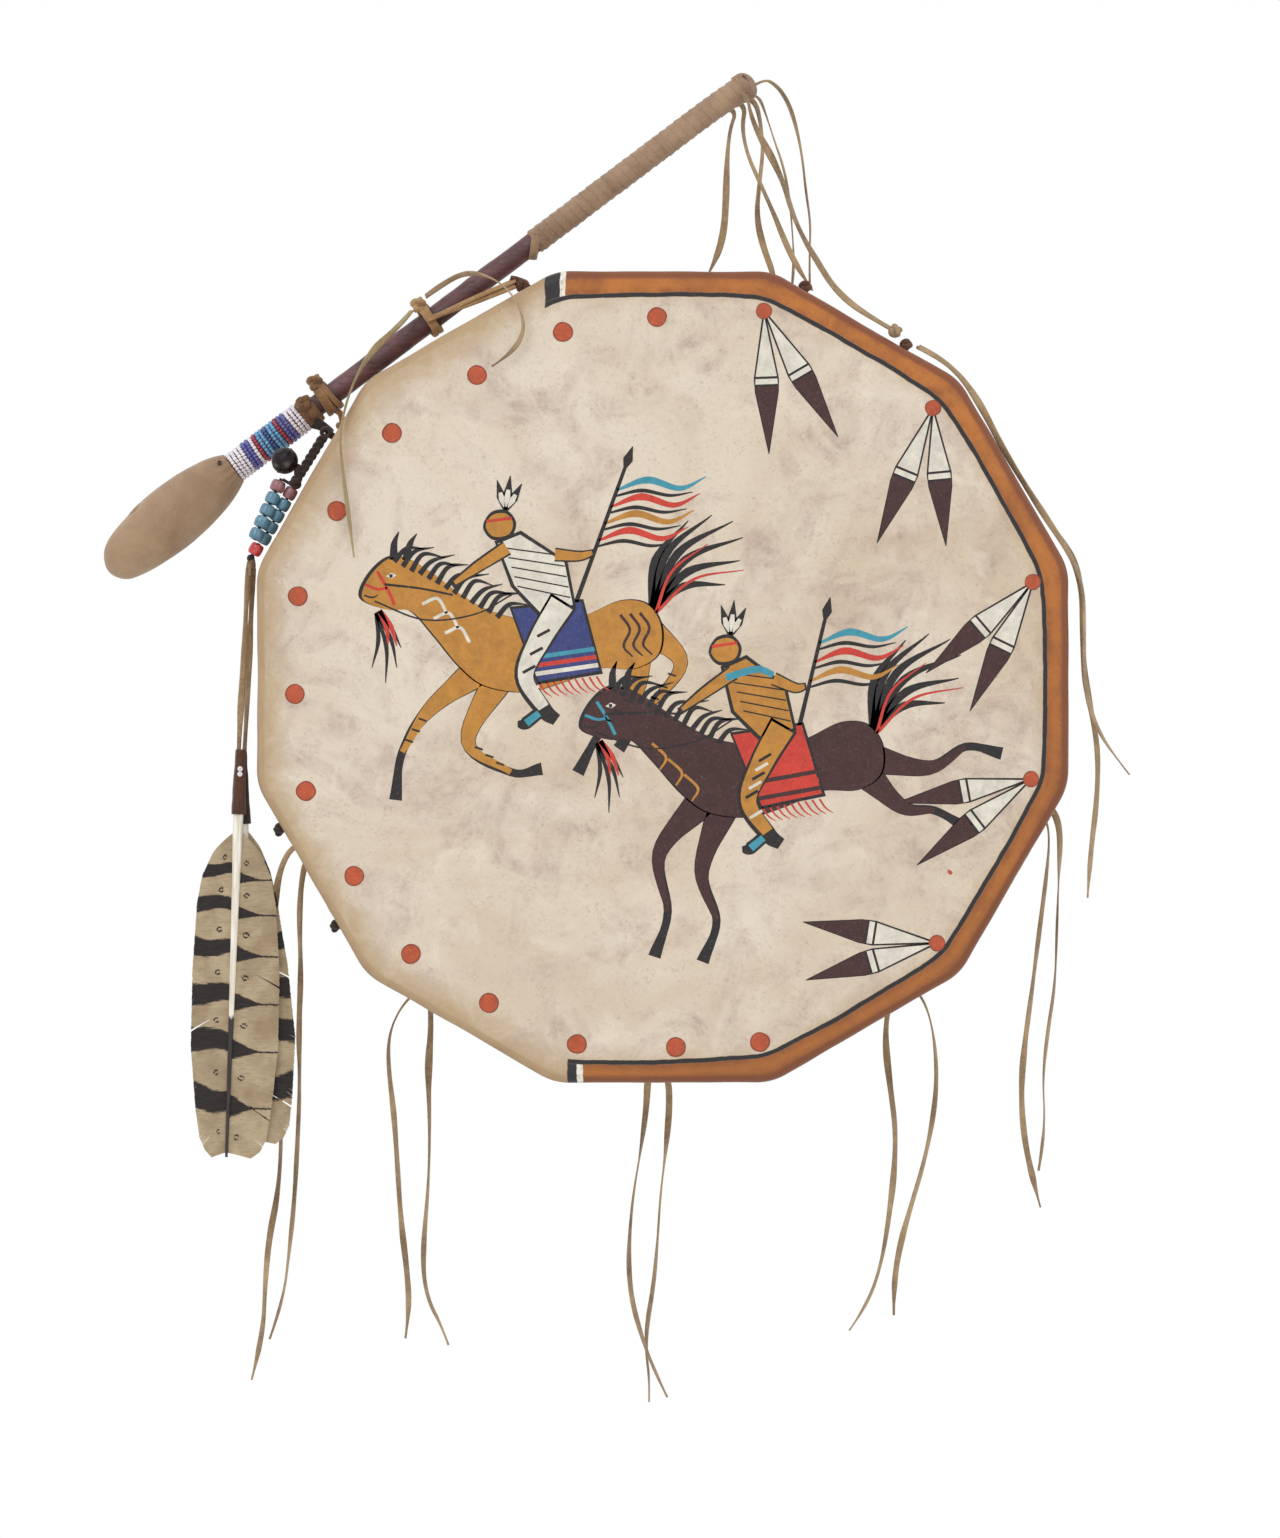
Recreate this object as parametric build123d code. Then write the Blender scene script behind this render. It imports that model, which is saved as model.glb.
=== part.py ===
from build123d import *
import math
import os

# A hand-held frame drum: a mitred twelve-sided wooden frame, a rawhide head laced across the
# back to a grip ring, painted-side fringe thongs, a beater tied along one edge, and a beaded
# pendant with two feathers. Millimetres. +Z is up, the playing face looks towards -Y, and the
# origin is the centre of the grip ring, in the plane of the lacing.

# --- driving dimensions: drum ---
ACROSS_FLATS = 406.4
SIDES = 12
FRAME_DEPTH = 60.0
STAVE_THICK = 12.0
HIDE = 1.6
LACE_R = 1.8
HEM_WIDTH = 24.0
STAVE_ROUND = 3.0
HIDE_CORNER_ROUND = 30.0
HOLE_R = 2.3
GRIP_RING_R = 38.0
GRIP_WRAP_R = 5.0
GRIP_STEEL_R = 3.45
FIT_GAP = 0.05

# --- driving dimensions: beater ---
STICK_ANGLE_DEG = 36.95
STICK_OFFSET = 218.1
STICK_Y = -6.0
STICK_R = 5.7
HEAD_TIP = -194.9
BEADS_START = -111.7
BEADS_END = -67.6
NECK_END = -58.6
WRAP_START = 81.3
BUTT = 218.9
WRAP_R = 6.4
LOOP_BORE_R = 7.4
LOOP_STRAP_R = 1.3
BEAD_ROWS = 19

# --- driving dimensions: pendant ---
PENDANT_Y = -50.0
BELL_R = 7.0
CROW_BEAD_R = 3.6
CROW_BEAD_LENGTH = 6.2
STRAND_R = 0.8
FEATHER_TOP = (-212.4, PENDANT_Y, -36.5)
FEATHER_TILT_DEG = 2.0
VANE_THICK = 0.9
BACK_FEATHER_TURN_DEG = 3.5

# --- driving dimensions: thongs ---
THONG_D = 2.8
THIN_THONG_D = 2.6
KNOT_R = 3.0
LIMP_RADIUS_DIAMETERS = 3

# --- worked out ---
SIDE_DEG = 360.0 / SIDES
APOTHEM = ACROSS_FLATS / 2
HEM_BACK_Y = -LACE_R
STAVE_BACK_Y = HEM_BACK_Y - HIDE
STAVE_FRONT_Y = STAVE_BACK_Y - FRAME_DEPTH
FACE_Y = STAVE_FRONT_Y - HIDE
STAVE_OUTER = APOTHEM - HIDE
STAVE_INNER = STAVE_OUTER - STAVE_THICK
HOLE_LINE = APOTHEM - 18.9
HOLE_TURN_DEG = SIDE_DEG / 4

# Thong routes, hand-placed. Each is a list of (x, y, z).
ROUTES = {
    "fringe_1_left": [(-181.6, 3.6, -83.6), (-190.5, 4.6, -86.5), (-197, 5.8, -97), (-200.5, 7, -114),
        (-201.6, 8, -140), (-200.6, 8.2, -170), (-198.5, 8.3, -205), (-197, 8.2, -237),
        (-198.7, 8, -266), (-203.6, 8.1, -290), (-205.6, 8.2, -314), (-206.6, 8.1, -340),
        (-212.5, 8, -363)],
    "fringe_1_right": [(-179, 3.6, -85.8), (-183.8, 4.4, -93.4), (-186.6, 5.6, -105),
        (-187.9, 7.4, -125), (-187, 8.2, -152), (-188.2, 8.3, -182), (-187.6, 8.2, -212),
        (-188.9, 8.2, -242), (-190.4, 8.1, -270), (-193.2, 8.2, -298), (-196.2, 8.1, -322),
        (-203.2, 8, -342)],
    "fringe_2_left": [(-123.6, 3.6, -158.2), (-129.4, 3.7, -163.8), (-136.4, 3.8, -172.2),
        (-141.3, 3.9, -184.4), (-141.8, 3.9, -200), (-138.6, 3.8, -226), (-136.8, 3.7, -254),
        (-135.2, 3.8, -280), (-131.8, 3.8, -308), (-130.8, 3.7, -326), (-132.8, 3.8, -341)],
    "fringe_2_right": [(-120.9, 3.6, -159.1), (-120, 3.7, -167.8), (-119.6, 3.8, -181),
        (-121.2, 3.9, -203), (-120.2, 3.8, -232), (-120.9, 3.7, -262), (-123.4, 3.8, -290),
        (-123.6, 3.8, -309), (-120.4, 3.7, -323), (-114.4, 3.8, -334), (-110.6, 3.8, -344.5)],
    "fringe_3_left": [(-5, 3.6, -198.5), (-8, 4.6, -206.5), (-8.4, 6.4, -221), (-11.4, 7.8, -244),
        (-15.4, 8.1, -267), (-17.3, 8, -288), (-17.8, 8.1, -305), (-16, 8, -323), (-10.6, 8.1, -342),
        (-4.6, 8, -358), (2.2, 8, -372)],
    "fringe_3_right": [(-1, 3.6, -198.5), (2.6, 4.8, -206.2), (3.5, 7.2, -220), (1.6, 9.8, -244),
        (-1.4, 11.2, -268), (-2.8, 11.6, -292), (-4.9, 11.6, -315), (-8.4, 11.5, -335),
        (-8.7, 11.6, -350), (-7, 11.5, -363), (-7.2, 11.5, -375)],
    "fringe_4_left": [(122.2, 3.6, -157.1), (118, 3.7, -164.6), (115.1, 3.8, -176), (114.8, 3.9, -191),
        (117.2, 3.8, -212), (119.9, 3.7, -232), (119.4, 3.8, -254), (116.6, 3.8, -278),
        (112.6, 3.7, -303), (105.2, 3.8, -324), (96, 3.8, -337)],
    "fringe_4_right": [(126.5, 3.6, -156.7), (132.4, 3.7, -163.2), (137.4, 3.8, -174),
        (140.4, 3.9, -190), (141.2, 3.9, -210), (138.9, 3.8, -230), (134.4, 3.7, -251),
        (128.4, 3.8, -271), (122.6, 3.8, -291), (118.9, 3.7, -312), (119, 3.8, -329)],
    "fringe_5_left": [(191, 3.6, -67.2), (197.4, 4.4, -72), (199.6, 5.6, -83), (198, 7.2, -103),
        (194.2, 8.2, -133), (190.6, 8.1, -162), (187, 8.2, -188), (184.9, 8.1, -212), (186.2, 8, -236),
        (190.4, 8.1, -257), (195, 8, -274)],
    "fringe_5_right": [(191.8, 3.6, -64.8), (199, 4.6, -66.4), (203.6, 5.8, -73), (205.2, 6.8, -84),
        (204.4, 7.8, -103), (203.4, 8.2, -132), (202.6, 8.1, -159), (198.6, 8.2, -184),
        (196.2, 8.1, -207), (197.2, 8, -227), (196, 8.1, -243), (194, 8, -255)],
    "shoulder_thong_front": [(128.2, -58, 165.6), (139.4, -58.2, 160), (150.6, -58.4, 149.4),
        (159.6, -58.3, 136), (169.7, -58, 116.1), (181.2, -57.6, 97.2), (194, -57.3, 77.1),
        (205.2, -57.6, 60.3), (211, -58, 44), (211.4, -58.4, 24), (211, -58.6, 3), (213.6, -58.5, -15),
        (219.4, -58, -29), (227, -57.8, -40), (234, -57.6, -49)],
    "shoulder_thong_back": [(127.4, -53.6, 166), (138.6, -53.8, 160.6), (151, -53.9, 151.4),
        (159, -53.6, 137), (169.3, -53.4, 117.1), (180.6, -53.2, 98), (193.4, -53.4, 77.9),
        (205.8, -53.6, 61.8), (210.4, -53.8, 44.8), (211, -54, 24), (211.4, -54, 3),
        (215.2, -53.8, -17), (218.8, -53.4, -37), (218.2, -53.2, -62), (214.9, -53.4, -88),
        (213.4, -53.6, -111)],
    "tie_tail_lower": [(-128.6, -13.6, 187.4), (-134.4, -25, 178.6), (-147.4, -44, 164.6),
        (-155.6, -61, 147), (-160.2, -69.6, 129), (-161.2, -69.8, 115.6), (-159.2, -69.4, 98.4),
        (-156.6, -69, 78.4), (-154.2, -68.8, 59.6)],
    "tie_tail_upper": [(-121.4, -13.4, 194.8), (-109.6, -24, 202.2), (-97.8, -38, 205.2),
        (-86, -52, 201), (-76.4, -66.6, 192.8), (-70.4, -70.4, 182.2), (-69.2, -70.8, 171.4),
        (-76, -70.2, 161), (-85.4, -69.4, 155)],
    "butt_thong_1": [(37.9, -3, 290.9), (34.6, 0.4, 282.8), (33, 3.4, 268), (32.6, 4.6, 249),
        (31.6, 5, 230), (27.4, 5, 215), (21, 5, 203.5)],
    "butt_thong_2": [(42.6, -3, 293.9), (40.6, 0.6, 283.4), (43.4, 3.6, 269.4), (50.2, 4.9, 254.6),
        (57.2, 5.1, 239), (63.4, 5, 223.4), (70, 5.1, 210), (77.2, 5, 199.4)],
    "butt_thong_3": [(47.4, -2.6, 296.6), (50.2, 2, 286.4), (51.8, 6.4, 272.6), (49.8, 8.4, 255),
        (48.2, 8.7, 238), (51.8, 8.6, 222), (57.4, 8.7, 207.5), (59.6, 8.6, 195.5)],
    "butt_thong_4": [(48.6, 0.6, 300.8), (53, 6, 290.8), (57.4, 10.6, 278), (62.6, 12.3, 263.5),
        (65.6, 12.6, 247), (67, 12.5, 230), (68, 12.6, 213), (66.4, 12.5, 198)],
    "butt_thong_5": [(51.2, -5, 307.8), (58.6, -1.6, 304.4), (64.8, 2.2, 295.8), (69, 5, 283),
        (72, 7, 268), (73.8, 8.4, 251), (76.4, 8.8, 234), (75.6, 8.7, 217), (75.9, 8.8, 201)],
    "butt_thong_6": [(43.2, -14.6, 297.6), (44.6, -17.8, 287.6), (49, -22.6, 276), (56, -28.4, 262.8),
        (61.6, -34.4, 249), (65.2, -40.4, 235), (70.4, -46.4, 222), (77.4, -52, 209.4),
        (84.6, -56, 197), (93.6, -58.2, 187.6), (105, -58.6, 180), (116.4, -58.4, 173.4)],
    "hanger_thong_left": [(-208.4, -51.7, 54.6), (-209.6, -51.9, 38.4), (-210.3, -52, 18.6),
        (-211.5, -52, -1.5), (-212.6, -52, -19), (-213.3, -51.9, -34.3)],
    "hanger_thong_right": [(-206.4, -48.3, 54.8), (-207.2, -48.1, 38.4), (-208.2, -48, 18.6),
        (-208.9, -48, -1.5), (-209.9, -48, -20), (-210.6, -48.1, -34.3)],
}
THIN_ROUTES = ("tie_tail_lower", "tie_tail_upper", "hanger_thong_left", "hanger_thong_right")

# Where each fringe pair is knotted behind the rim, as (x, z).
FRINGE_KNOTS = [(-178.0, -82.0), (-121.0, -155.0), (-3.0, -195.0), (124.0, -153.6), (188.0, -64.6)]
FRINGE_KNOT_END_Y = 5.2


def turned(radius, angle_deg, y):
    """A point at that radius and angle about the drum's axis, at depth y."""
    angle = math.radians(angle_deg)
    return Vector(radius * math.cos(angle), y, radius * math.sin(angle))


def rod(start, end, radius):
    """A straight round bar from start to end."""
    start, end = Vector(*start), Vector(*end)
    return extrude(Plane(origin=start, z_dir=end - start) * Circle(radius), (end - start).length)


def ball(centre, radius, pole=(0, 0, 1)):
    return Plane(origin=centre, z_dir=pole) * Sphere(radius)


def ring(centre, axis, ring_radius, tube_radius):
    return Plane(origin=centre, z_dir=axis) * Torus(ring_radius, tube_radius)


def bend_radii(points):
    """The largest tangent arc that each inner point of a route has room for."""
    steps = [Vector(*b) - Vector(*a) for a, b in zip(points, points[1:])]
    radii = []
    for before, after in zip(steps, steps[1:]):
        half_turn = math.radians(before.get_angle(after)) / 2
        radii.append(0.45 * min(before.length, after.length) / math.tan(half_turn))
    return radii


def thong(name):
    """One limp thong as a round tube along its route."""
    diameter = THIN_THONG_D if name in THIN_ROUTES else THONG_D
    points = ROUTES[name]
    radii = bend_radii(points)
    path = FilletPolyline(*points, radius=radii)
    tube = sweep(Plane(origin=path @ 0, z_dir=path % 0) * Circle(diameter / 2), path)
    wanted = math.pi * diameter**2 / 4 * path.length
    note = "ok" if min(radii) >= LIMP_RADIUS_DIAMETERS * diameter else "TIGHT"
    print(f"{name}: length {path.length:.1f}, volume / section x length {tube.volume / wanted:.4f},"
          f" tightest radius {min(radii):.1f} {note}")
    return tube


# --- drum ---

def twelve_sided(apothem, front_y, back_y, corner_round=0.0):
    """A twelve-sided prism about the drum's axis, flat side up."""
    outline = RegularPolygon(apothem, SIDES, major_radius=False, rotation=SIDE_DEG / 2)
    if corner_round:
        outline = fillet(outline.vertices(), corner_round)
    return Pos(0, back_y, 0) * extrude(Plane.XZ * outline, back_y - front_y)


def round_rims(prism, radius):
    """The prism with the edges of its front and back faces rounded over."""
    faces = prism.faces().sort_by(Axis.Y)
    return fillet(faces[0].edges() + faces[-1].edges(), radius)


def frame_block():
    """The space that the rounded staves fill, without the hollow."""
    block = twelve_sided(STAVE_OUTER, STAVE_FRONT_Y, STAVE_BACK_Y, HIDE_CORNER_ROUND - HIDE)
    return round_rims(block, STAVE_ROUND)


def frame_staves():
    hollow = twelve_sided(STAVE_INNER, STAVE_FRONT_Y - 1, STAVE_BACK_Y + 1)
    hoop = frame_block() - hollow
    half_width = (STAVE_OUTER + 10) * math.tan(math.radians(SIDE_DEG / 2))
    sector = Polygon((0, 0), (STAVE_OUTER + 10, -half_width), (STAVE_OUTER + 10, half_width), align=None)
    wedge = Pos(0, 1, 0) * extrude(Plane.XZ * sector, FRAME_DEPTH + 10)
    stave = hoop & wedge
    return [Rot(0, -SIDE_DEG * i, 0) * stave for i in range(SIDES)]


def hem_hole_angles():
    """Angle of each of the two lacing holes behind every stave."""
    return [SIDE_DEG * i + side * HOLE_TURN_DEG for i in range(SIDES) for side in (-1, 1)]


HOLE_CIRCLE_R = HOLE_LINE / math.cos(math.radians(HOLE_TURN_DEG))


def drumhead():
    """Rawhide drawn over the front, down the sides and turned in over the back edge."""
    outside = twelve_sided(APOTHEM, FACE_Y, HEM_BACK_Y, HIDE_CORNER_ROUND)
    hide = round_rims(outside, STAVE_ROUND + HIDE) - frame_block()
    hide -= twelve_sided(APOTHEM - HEM_WIDTH, STAVE_BACK_Y - 1, HEM_BACK_Y + 1)
    for angle in hem_hole_angles():
        hide -= rod(turned(HOLE_CIRCLE_R, angle, STAVE_BACK_Y - 1), turned(HOLE_CIRCLE_R, angle, 1), HOLE_R)
    return hide


def lace_stitches():
    """Behind each stave the lace drops through one hole, runs under the hem and comes back up."""
    stitches = []
    under_y = STAVE_BACK_Y - LACE_R
    for i in range(SIDES):
        ends = [turned(HOLE_CIRCLE_R, SIDE_DEG * i + side * HOLE_TURN_DEG, 0) for side in (-1, 1)]
        unders = [Vector(p.X, under_y, p.Z) for p in ends]
        stitch = rod(unders[0], unders[1], LACE_R)
        for top, under in zip(ends, unders):
            stitch += rod(under, top, LACE_R) + ball(under, LACE_R) + ball(top, LACE_R)
        stitches.append(stitch)
    return stitches


def lace_loops():
    """Round the grip ring, opposite each corner of the frame, the lace takes one turn."""
    loops = []
    for i in range(SIDES):
        angle = SIDE_DEG * (i + 0.5)
        tangent = turned(1, angle + 90, 0)
        loops.append(ring(turned(GRIP_RING_R, angle, 0), tangent, GRIP_WRAP_R + LACE_R + FIT_GAP, LACE_R))
    return loops


def lace_spokes():
    """The straight runs of lace, two from each turn round the grip ring to the hem."""
    spokes = []
    reach = GRIP_RING_R + GRIP_WRAP_R + 2 * LACE_R + 8 * FIT_GAP
    for i in range(SIDES):
        corner_angle = SIDE_DEG * (i + 0.5)
        for side in (-1, 1):
            hole = turned(HOLE_CIRCLE_R, corner_angle + side * (SIDE_DEG / 2 - HOLE_TURN_DEG), 0)
            inner = turned(reach, corner_angle, 0) + turned(side * (LACE_R + FIT_GAP), corner_angle + 90, 0)
            inward = (inner - hole).normalized()
            spokes.append(rod(hole + inward * (LACE_R + FIT_GAP), inner, LACE_R))
    return spokes


def grip_wrap():
    """Soft wrapping round the steel ring."""
    axis = (0, 1, 0)
    outer = ring((0, 0, 0), axis, GRIP_RING_R, GRIP_WRAP_R)
    return outer - ring((0, 0, 0), axis, GRIP_RING_R, GRIP_STEEL_R + FIT_GAP)


def fringe_knots():
    """Toggle knots behind the hem, one for each pair of fringe thongs."""
    knots = []
    for x, z in FRINGE_KNOTS:
        knot = rod((x, HEM_BACK_Y, z), (x, FRINGE_KNOT_END_Y, z), KNOT_R)
        knots.append(fillet(knot.edges().sort_by(Axis.Y)[-1], 1.2))
    return knots


# Knots that stand on the drum's side near the front edge: (angle of that side, distance along
# it from its middle, y, radius).
RIM_KNOTS = [(60, -22.4, -55.6, 3.2), (60, 36.0, -52.0, 3.4), (210, -30.0, -56.0, 2.6),
             (210, 26.0, -56.0, 2.4)]


def on_side(side_deg, along, out, y):
    """A point beside one flat of the drum: along it anticlockwise as seen from the front."""
    across = turned(APOTHEM + out, side_deg, y)
    return across + turned(along, side_deg + 90, 0)


def rim_knots():
    knots = []
    for side, along, y, radius in RIM_KNOTS:
        stem = rod(on_side(side, along, 0, y), on_side(side, along, radius, y), radius * 0.6)
        knots.append(stem + ball(on_side(side, along, radius + 0.2, y), radius, turned(1, side, 0)))
    tab_foot, tab_top = on_side(120, -38.6, 0, -15), on_side(120, -38.6, 8.0, -15)
    knots.append(rod(tab_foot, tab_top, 3.2) + ball(tab_top, 3.4, turned(1, 120, 0)))
    knots.append(pendant_toggle())
    return knots


PENDANT_PIVOT = (-169.6, PENDANT_Y, 123.2)
TOGGLE_R = 2.5


def pendant_toggle():
    """A short toggle knot across the drum's side, which the pendant hangs from."""
    x, y, z = PENDANT_PIVOT
    toggle = rod((x, y - 4, z), (x, y + 4, z), TOGGLE_R)
    foot = on_side(150, along_slope(PENDANT_PIVOT), 0, y)
    return toggle + rod(foot, (x, y, z), 1.4)


# --- beater ---

STICK_DIR = Vector(math.cos(math.radians(STICK_ANGLE_DEG)), 0, math.sin(math.radians(STICK_ANGLE_DEG)))
STICK_OUT = Vector(-STICK_DIR.Z, 0, STICK_DIR.X)


def on_stick(along, out=0.0, forward=0.0):
    """A point near the beater's axis: along it towards the butt, out from the drum, and towards the face."""
    return STICK_DIR * along + STICK_OUT * (STICK_OFFSET + out) + Vector(0, STICK_Y - forward, 0)


def stick_plane(along):
    return Plane(origin=on_stick(along), x_dir=STICK_OUT, z_dir=STICK_DIR)


def stick_tube(start, end, outer, inner):
    tube = Circle(outer) - Circle(inner) if inner else Circle(outer)
    return extrude(stick_plane(start) * tube, end - start)


HEAD_LENGTH = BEADS_START - HEAD_TIP
HEAD_HALF_PROFILE = [(0.0, 0.0), (0.08, 10.2), (0.28, 14.9), (0.52, 16.2), (0.76, 13.6), (1.0, 8.6)]
CORE_SHELL = 2.0


def head_solid(shrink, end_trim):
    """The egg-shaped head, or its padding when shrunk by the thickness of its cover."""
    outline = [(max(radius - shrink, 0.0), HEAD_TIP + shrink + share * (HEAD_LENGTH - shrink - end_trim))
               for share, radius in HEAD_HALF_PROFILE]
    arcs = [TangentArc(outline[0], outline[1], tangent=(1, 0))]
    for corner in outline[2:]:
        arcs.append(TangentArc(arcs[-1] @ 1, corner, tangent=arcs[-1] % 1))
    top = Line(outline[-1], (0, outline[-1][1]))
    half = make_face([*arcs, top, Line(top @ 1, outline[0])])
    plane = Plane(origin=on_stick(0), x_dir=STICK_OUT, z_dir=(0, -1, 0))
    if plane.y_dir.dot(STICK_DIR) < 0:
        plane = Plane(origin=on_stick(0), x_dir=-STICK_OUT, z_dir=(0, -1, 0))
    return revolve(plane * half, Axis(on_stick(0), STICK_DIR))


STICK_HEAD_END = HEAD_TIP + 18.0
SLEEVE_R = 6.7
BEAD_ROW_R = 8.3


def beater_cover():
    return head_solid(0.0, 0.0) - head_solid(CORE_SHELL, CORE_SHELL) - stick_tube(
        BEADS_START - 10, BEADS_START + 1, STICK_R + FIT_GAP, 0)


def beater_core():
    socket = stick_tube(STICK_HEAD_END, BEADS_START + 1, STICK_R + FIT_GAP, 0)
    return head_solid(CORE_SHELL, CORE_SHELL) - socket


def seed_beads():
    """Rows of tiny beads sewn round the sleeve, one ring to a row."""
    pitch = (BEADS_END - BEADS_START) / BEAD_ROWS
    tube_r = (BEAD_ROW_R - SLEEVE_R) / 2
    rows = []
    for i in range(BEAD_ROWS):
        centre = BEADS_START + pitch * (i + 0.5)
        start, end = centre - pitch / 2 + FIT_GAP, centre + pitch / 2 - FIT_GAP
        row = stick_tube(start, end, BEAD_ROW_R, SLEEVE_R + FIT_GAP)
        outer_edges = row.edges().filter_by(GeomType.CIRCLE).sort_by(SortBy.RADIUS)[-2:]
        rows.append(fillet(outer_edges, tube_r * 0.8))
    return rows


def stick_wrap():
    """Spiral hide wrapping on the handle, a little fuller at the butt."""
    return stick_tube(WRAP_START, BUTT, WRAP_R, STICK_R + FIT_GAP) + stick_tube(
        BUTT - 14, BUTT, WRAP_R + 0.4, STICK_R + FIT_GAP)


LOOP_RING_R = LOOP_BORE_R + LOOP_STRAP_R
UPPER_LOOPS = (13.2, 16.0)
LOWER_LOOPS = (-54.5, -51.7, -48.9)
TIE_KNOT_R = 3.2
TIE_KNOT_OUT = 9.8
TIE_KNOT_FORWARD = 3.5


def tie_loops(places):
    tie = ball(on_stick(sum(places) / len(places), TIE_KNOT_OUT, TIE_KNOT_FORWARD), TIE_KNOT_R)
    for along in places:
        tie += ring(on_stick(along), STICK_DIR, LOOP_RING_R, LOOP_STRAP_R)
    return tie


def beater_tie_upper():
    """Two turns round the stick, knotted, with two strands across it to the tab on the rim."""
    tie = tie_loops(UPPER_LOOPS)
    tab = on_side(120, -35.4, 8.6, -17.4)
    for along, lift in zip(UPPER_LOOPS, (1.5, -1.5)):
        tie += rod(on_stick(along, 0, LOOP_RING_R + 0.3), tab + Vector(0, -0.6, lift), LOOP_STRAP_R)
    return tie


def beater_tie_lower():
    """Three turns round the stick, knotted, with a short link to the drum's side."""
    tie = tie_loops(LOWER_LOOPS)
    anchor = on_side(150, -29.4, 3.3, STICK_Y)
    middle = LOWER_LOOPS[1]
    return tie + rod(on_stick(middle, -LOOP_RING_R), anchor, 1.5) + ball(anchor, 3.0)


# --- pendant ---

SLOPE_OUT = turned(1, 150, 0)
SLOPE_DOWN = turned(1, 240, 0)


def along_slope(point):
    return Vector(*point).dot(SLOPE_DOWN)


def beside_slope(down, out, y):
    """A point beside the upper left flat of the drum, down it from its middle."""
    return SLOPE_DOWN * down + SLOPE_OUT * out + Vector(0, y, 0)


INNER_STRAND = (beside_slope(9.6, 208.9, -49.0), beside_slope(43.0, 208.9, -49.0))
OUTER_STRAND = (beside_slope(9.6, 216.3, -51.0), beside_slope(43.0, 212.2, -56.2))
BRAID_R = 2.4
BRAID_END = beside_slope(6.3, 209.4, PENDANT_Y)
BELL_CENTRE = beside_slope(0.9, 219.4, PENDANT_Y)
BELL_WALL = 0.9
PELLET_R = 1.8
BEADS_DOWN = (13.8, 20.4, 26.9, 33.4, 39.9)


def on_strand(strand, down):
    """Where a strand is at that distance down the slope."""
    start, end = strand
    share = (down - along_slope(start)) / (along_slope(end) - along_slope(start))
    return start + (end - start) * share


def crow_bead(centre, axis, length):
    bead = Plane(origin=centre - axis * (length / 2), z_dir=axis)
    body = fillet(extrude(bead * Circle(CROW_BEAD_R), length).edges(), 1.9)
    return body - extrude(bead * Circle(STRAND_R + 0.2), length)


def strand_beads(distances_down):
    """A crow bead on each of the two strands at each distance down the slope."""
    beads = []
    for strand in (INNER_STRAND, OUTER_STRAND):
        axis = (strand[1] - strand[0]).normalized()
        beads += [crow_bead(on_strand(strand, down), axis, CROW_BEAD_LENGTH) for down in distances_down]
    return beads


def pendant_braid():
    """A short braided thong from the toggle to the two bead strands."""
    x, y, z = PENDANT_PIVOT
    start = Vector(x, y, z) + SLOPE_DOWN * (TOGGLE_R + 0.35)
    braid = rod(start, BRAID_END, BRAID_R) + ball(BRAID_END, BRAID_R)
    shank = BELL_CENTRE - SLOPE_OUT * (BELL_R - 0.4)
    return braid + rod(shank - SLOPE_OUT * 3.0, shank - SLOPE_OUT * 0.5, 1.0)


def pendant_bell():
    """A closed round bell with a slot across its outer side."""
    bell = ball(BELL_CENTRE, BELL_R) - ball(BELL_CENTRE, BELL_R - BELL_WALL)
    slot = Plane(origin=BELL_CENTRE + SLOPE_OUT * 4, x_dir=SLOPE_DOWN, z_dir=SLOPE_OUT)
    return bell - extrude(slot * SlotOverall(9.0, 1.2), 6)


def bead_strands():
    """The two thin thongs through the beads, from the braid to the red bead, and the end knot."""
    strands = [rod(start, end, STRAND_R) for start, end in (INNER_STRAND, OUTER_STRAND)]
    red_end = beside_slope(50.6, 209.6, PENDANT_Y)
    strands.append(rod(beside_slope(43.4, 209.6, PENDANT_Y), red_end, STRAND_R)
                   + ball(red_end + SLOPE_DOWN * 1.4, 2.0, SLOPE_DOWN))
    strands.append(rod(INNER_STRAND[0] + SLOPE_OUT * 0.9, OUTER_STRAND[0] - SLOPE_OUT * 0.9, STRAND_R))
    return strands


FEATHER_LENGTH = 204.0
SLEEVE_LENGTH = 32.5
QUILL_FROM = 8.0
# Half-widths of a feather, from the sleeve's top down: (distance down, left, right).
VANE_WIDTHS = [(53, 12.0, 12.0), (78, 19.4, 21.4), (112, 21.0, 24.4), (150, 19.8, 23.6), (182, 14.8, 19.6),
               (198, 7.6, 13.0)]


def feather_plane(turn_deg, forward):
    """A feather's own plane: its origin at the sleeve's top, local +Y back up the quill."""
    tilt = math.radians(FEATHER_TILT_DEG - turn_deg)
    x, y, z = FEATHER_TOP
    return Plane(origin=(x, y - forward, z), x_dir=(math.cos(tilt), 0, -math.sin(tilt)), z_dir=(0, -1, 0))


def quill(plane):
    """A tapering shaft whose top is inside the sleeve."""
    stations = [(QUILL_FROM, 1.7), (SLEEVE_LENGTH - 4, 2.0), (SLEEVE_LENGTH + 4, 1.9), (135.0, 1.1),
                (FEATHER_LENGTH - 2, 0.7)]
    half = Polyline((0, -stations[0][0]), *[(r, -d) for d, r in stations], (0, -stations[-1][0]), close=True)
    return revolve(plane * make_face(half), Axis(plane.origin, plane.y_dir))


def sleeve(plane, length):
    half = Polyline((0, 0), (2.3, 0), (2.9, -length), (0, -length), close=True)
    return revolve(plane * make_face(half), Axis(plane.origin, plane.y_dir))


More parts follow.
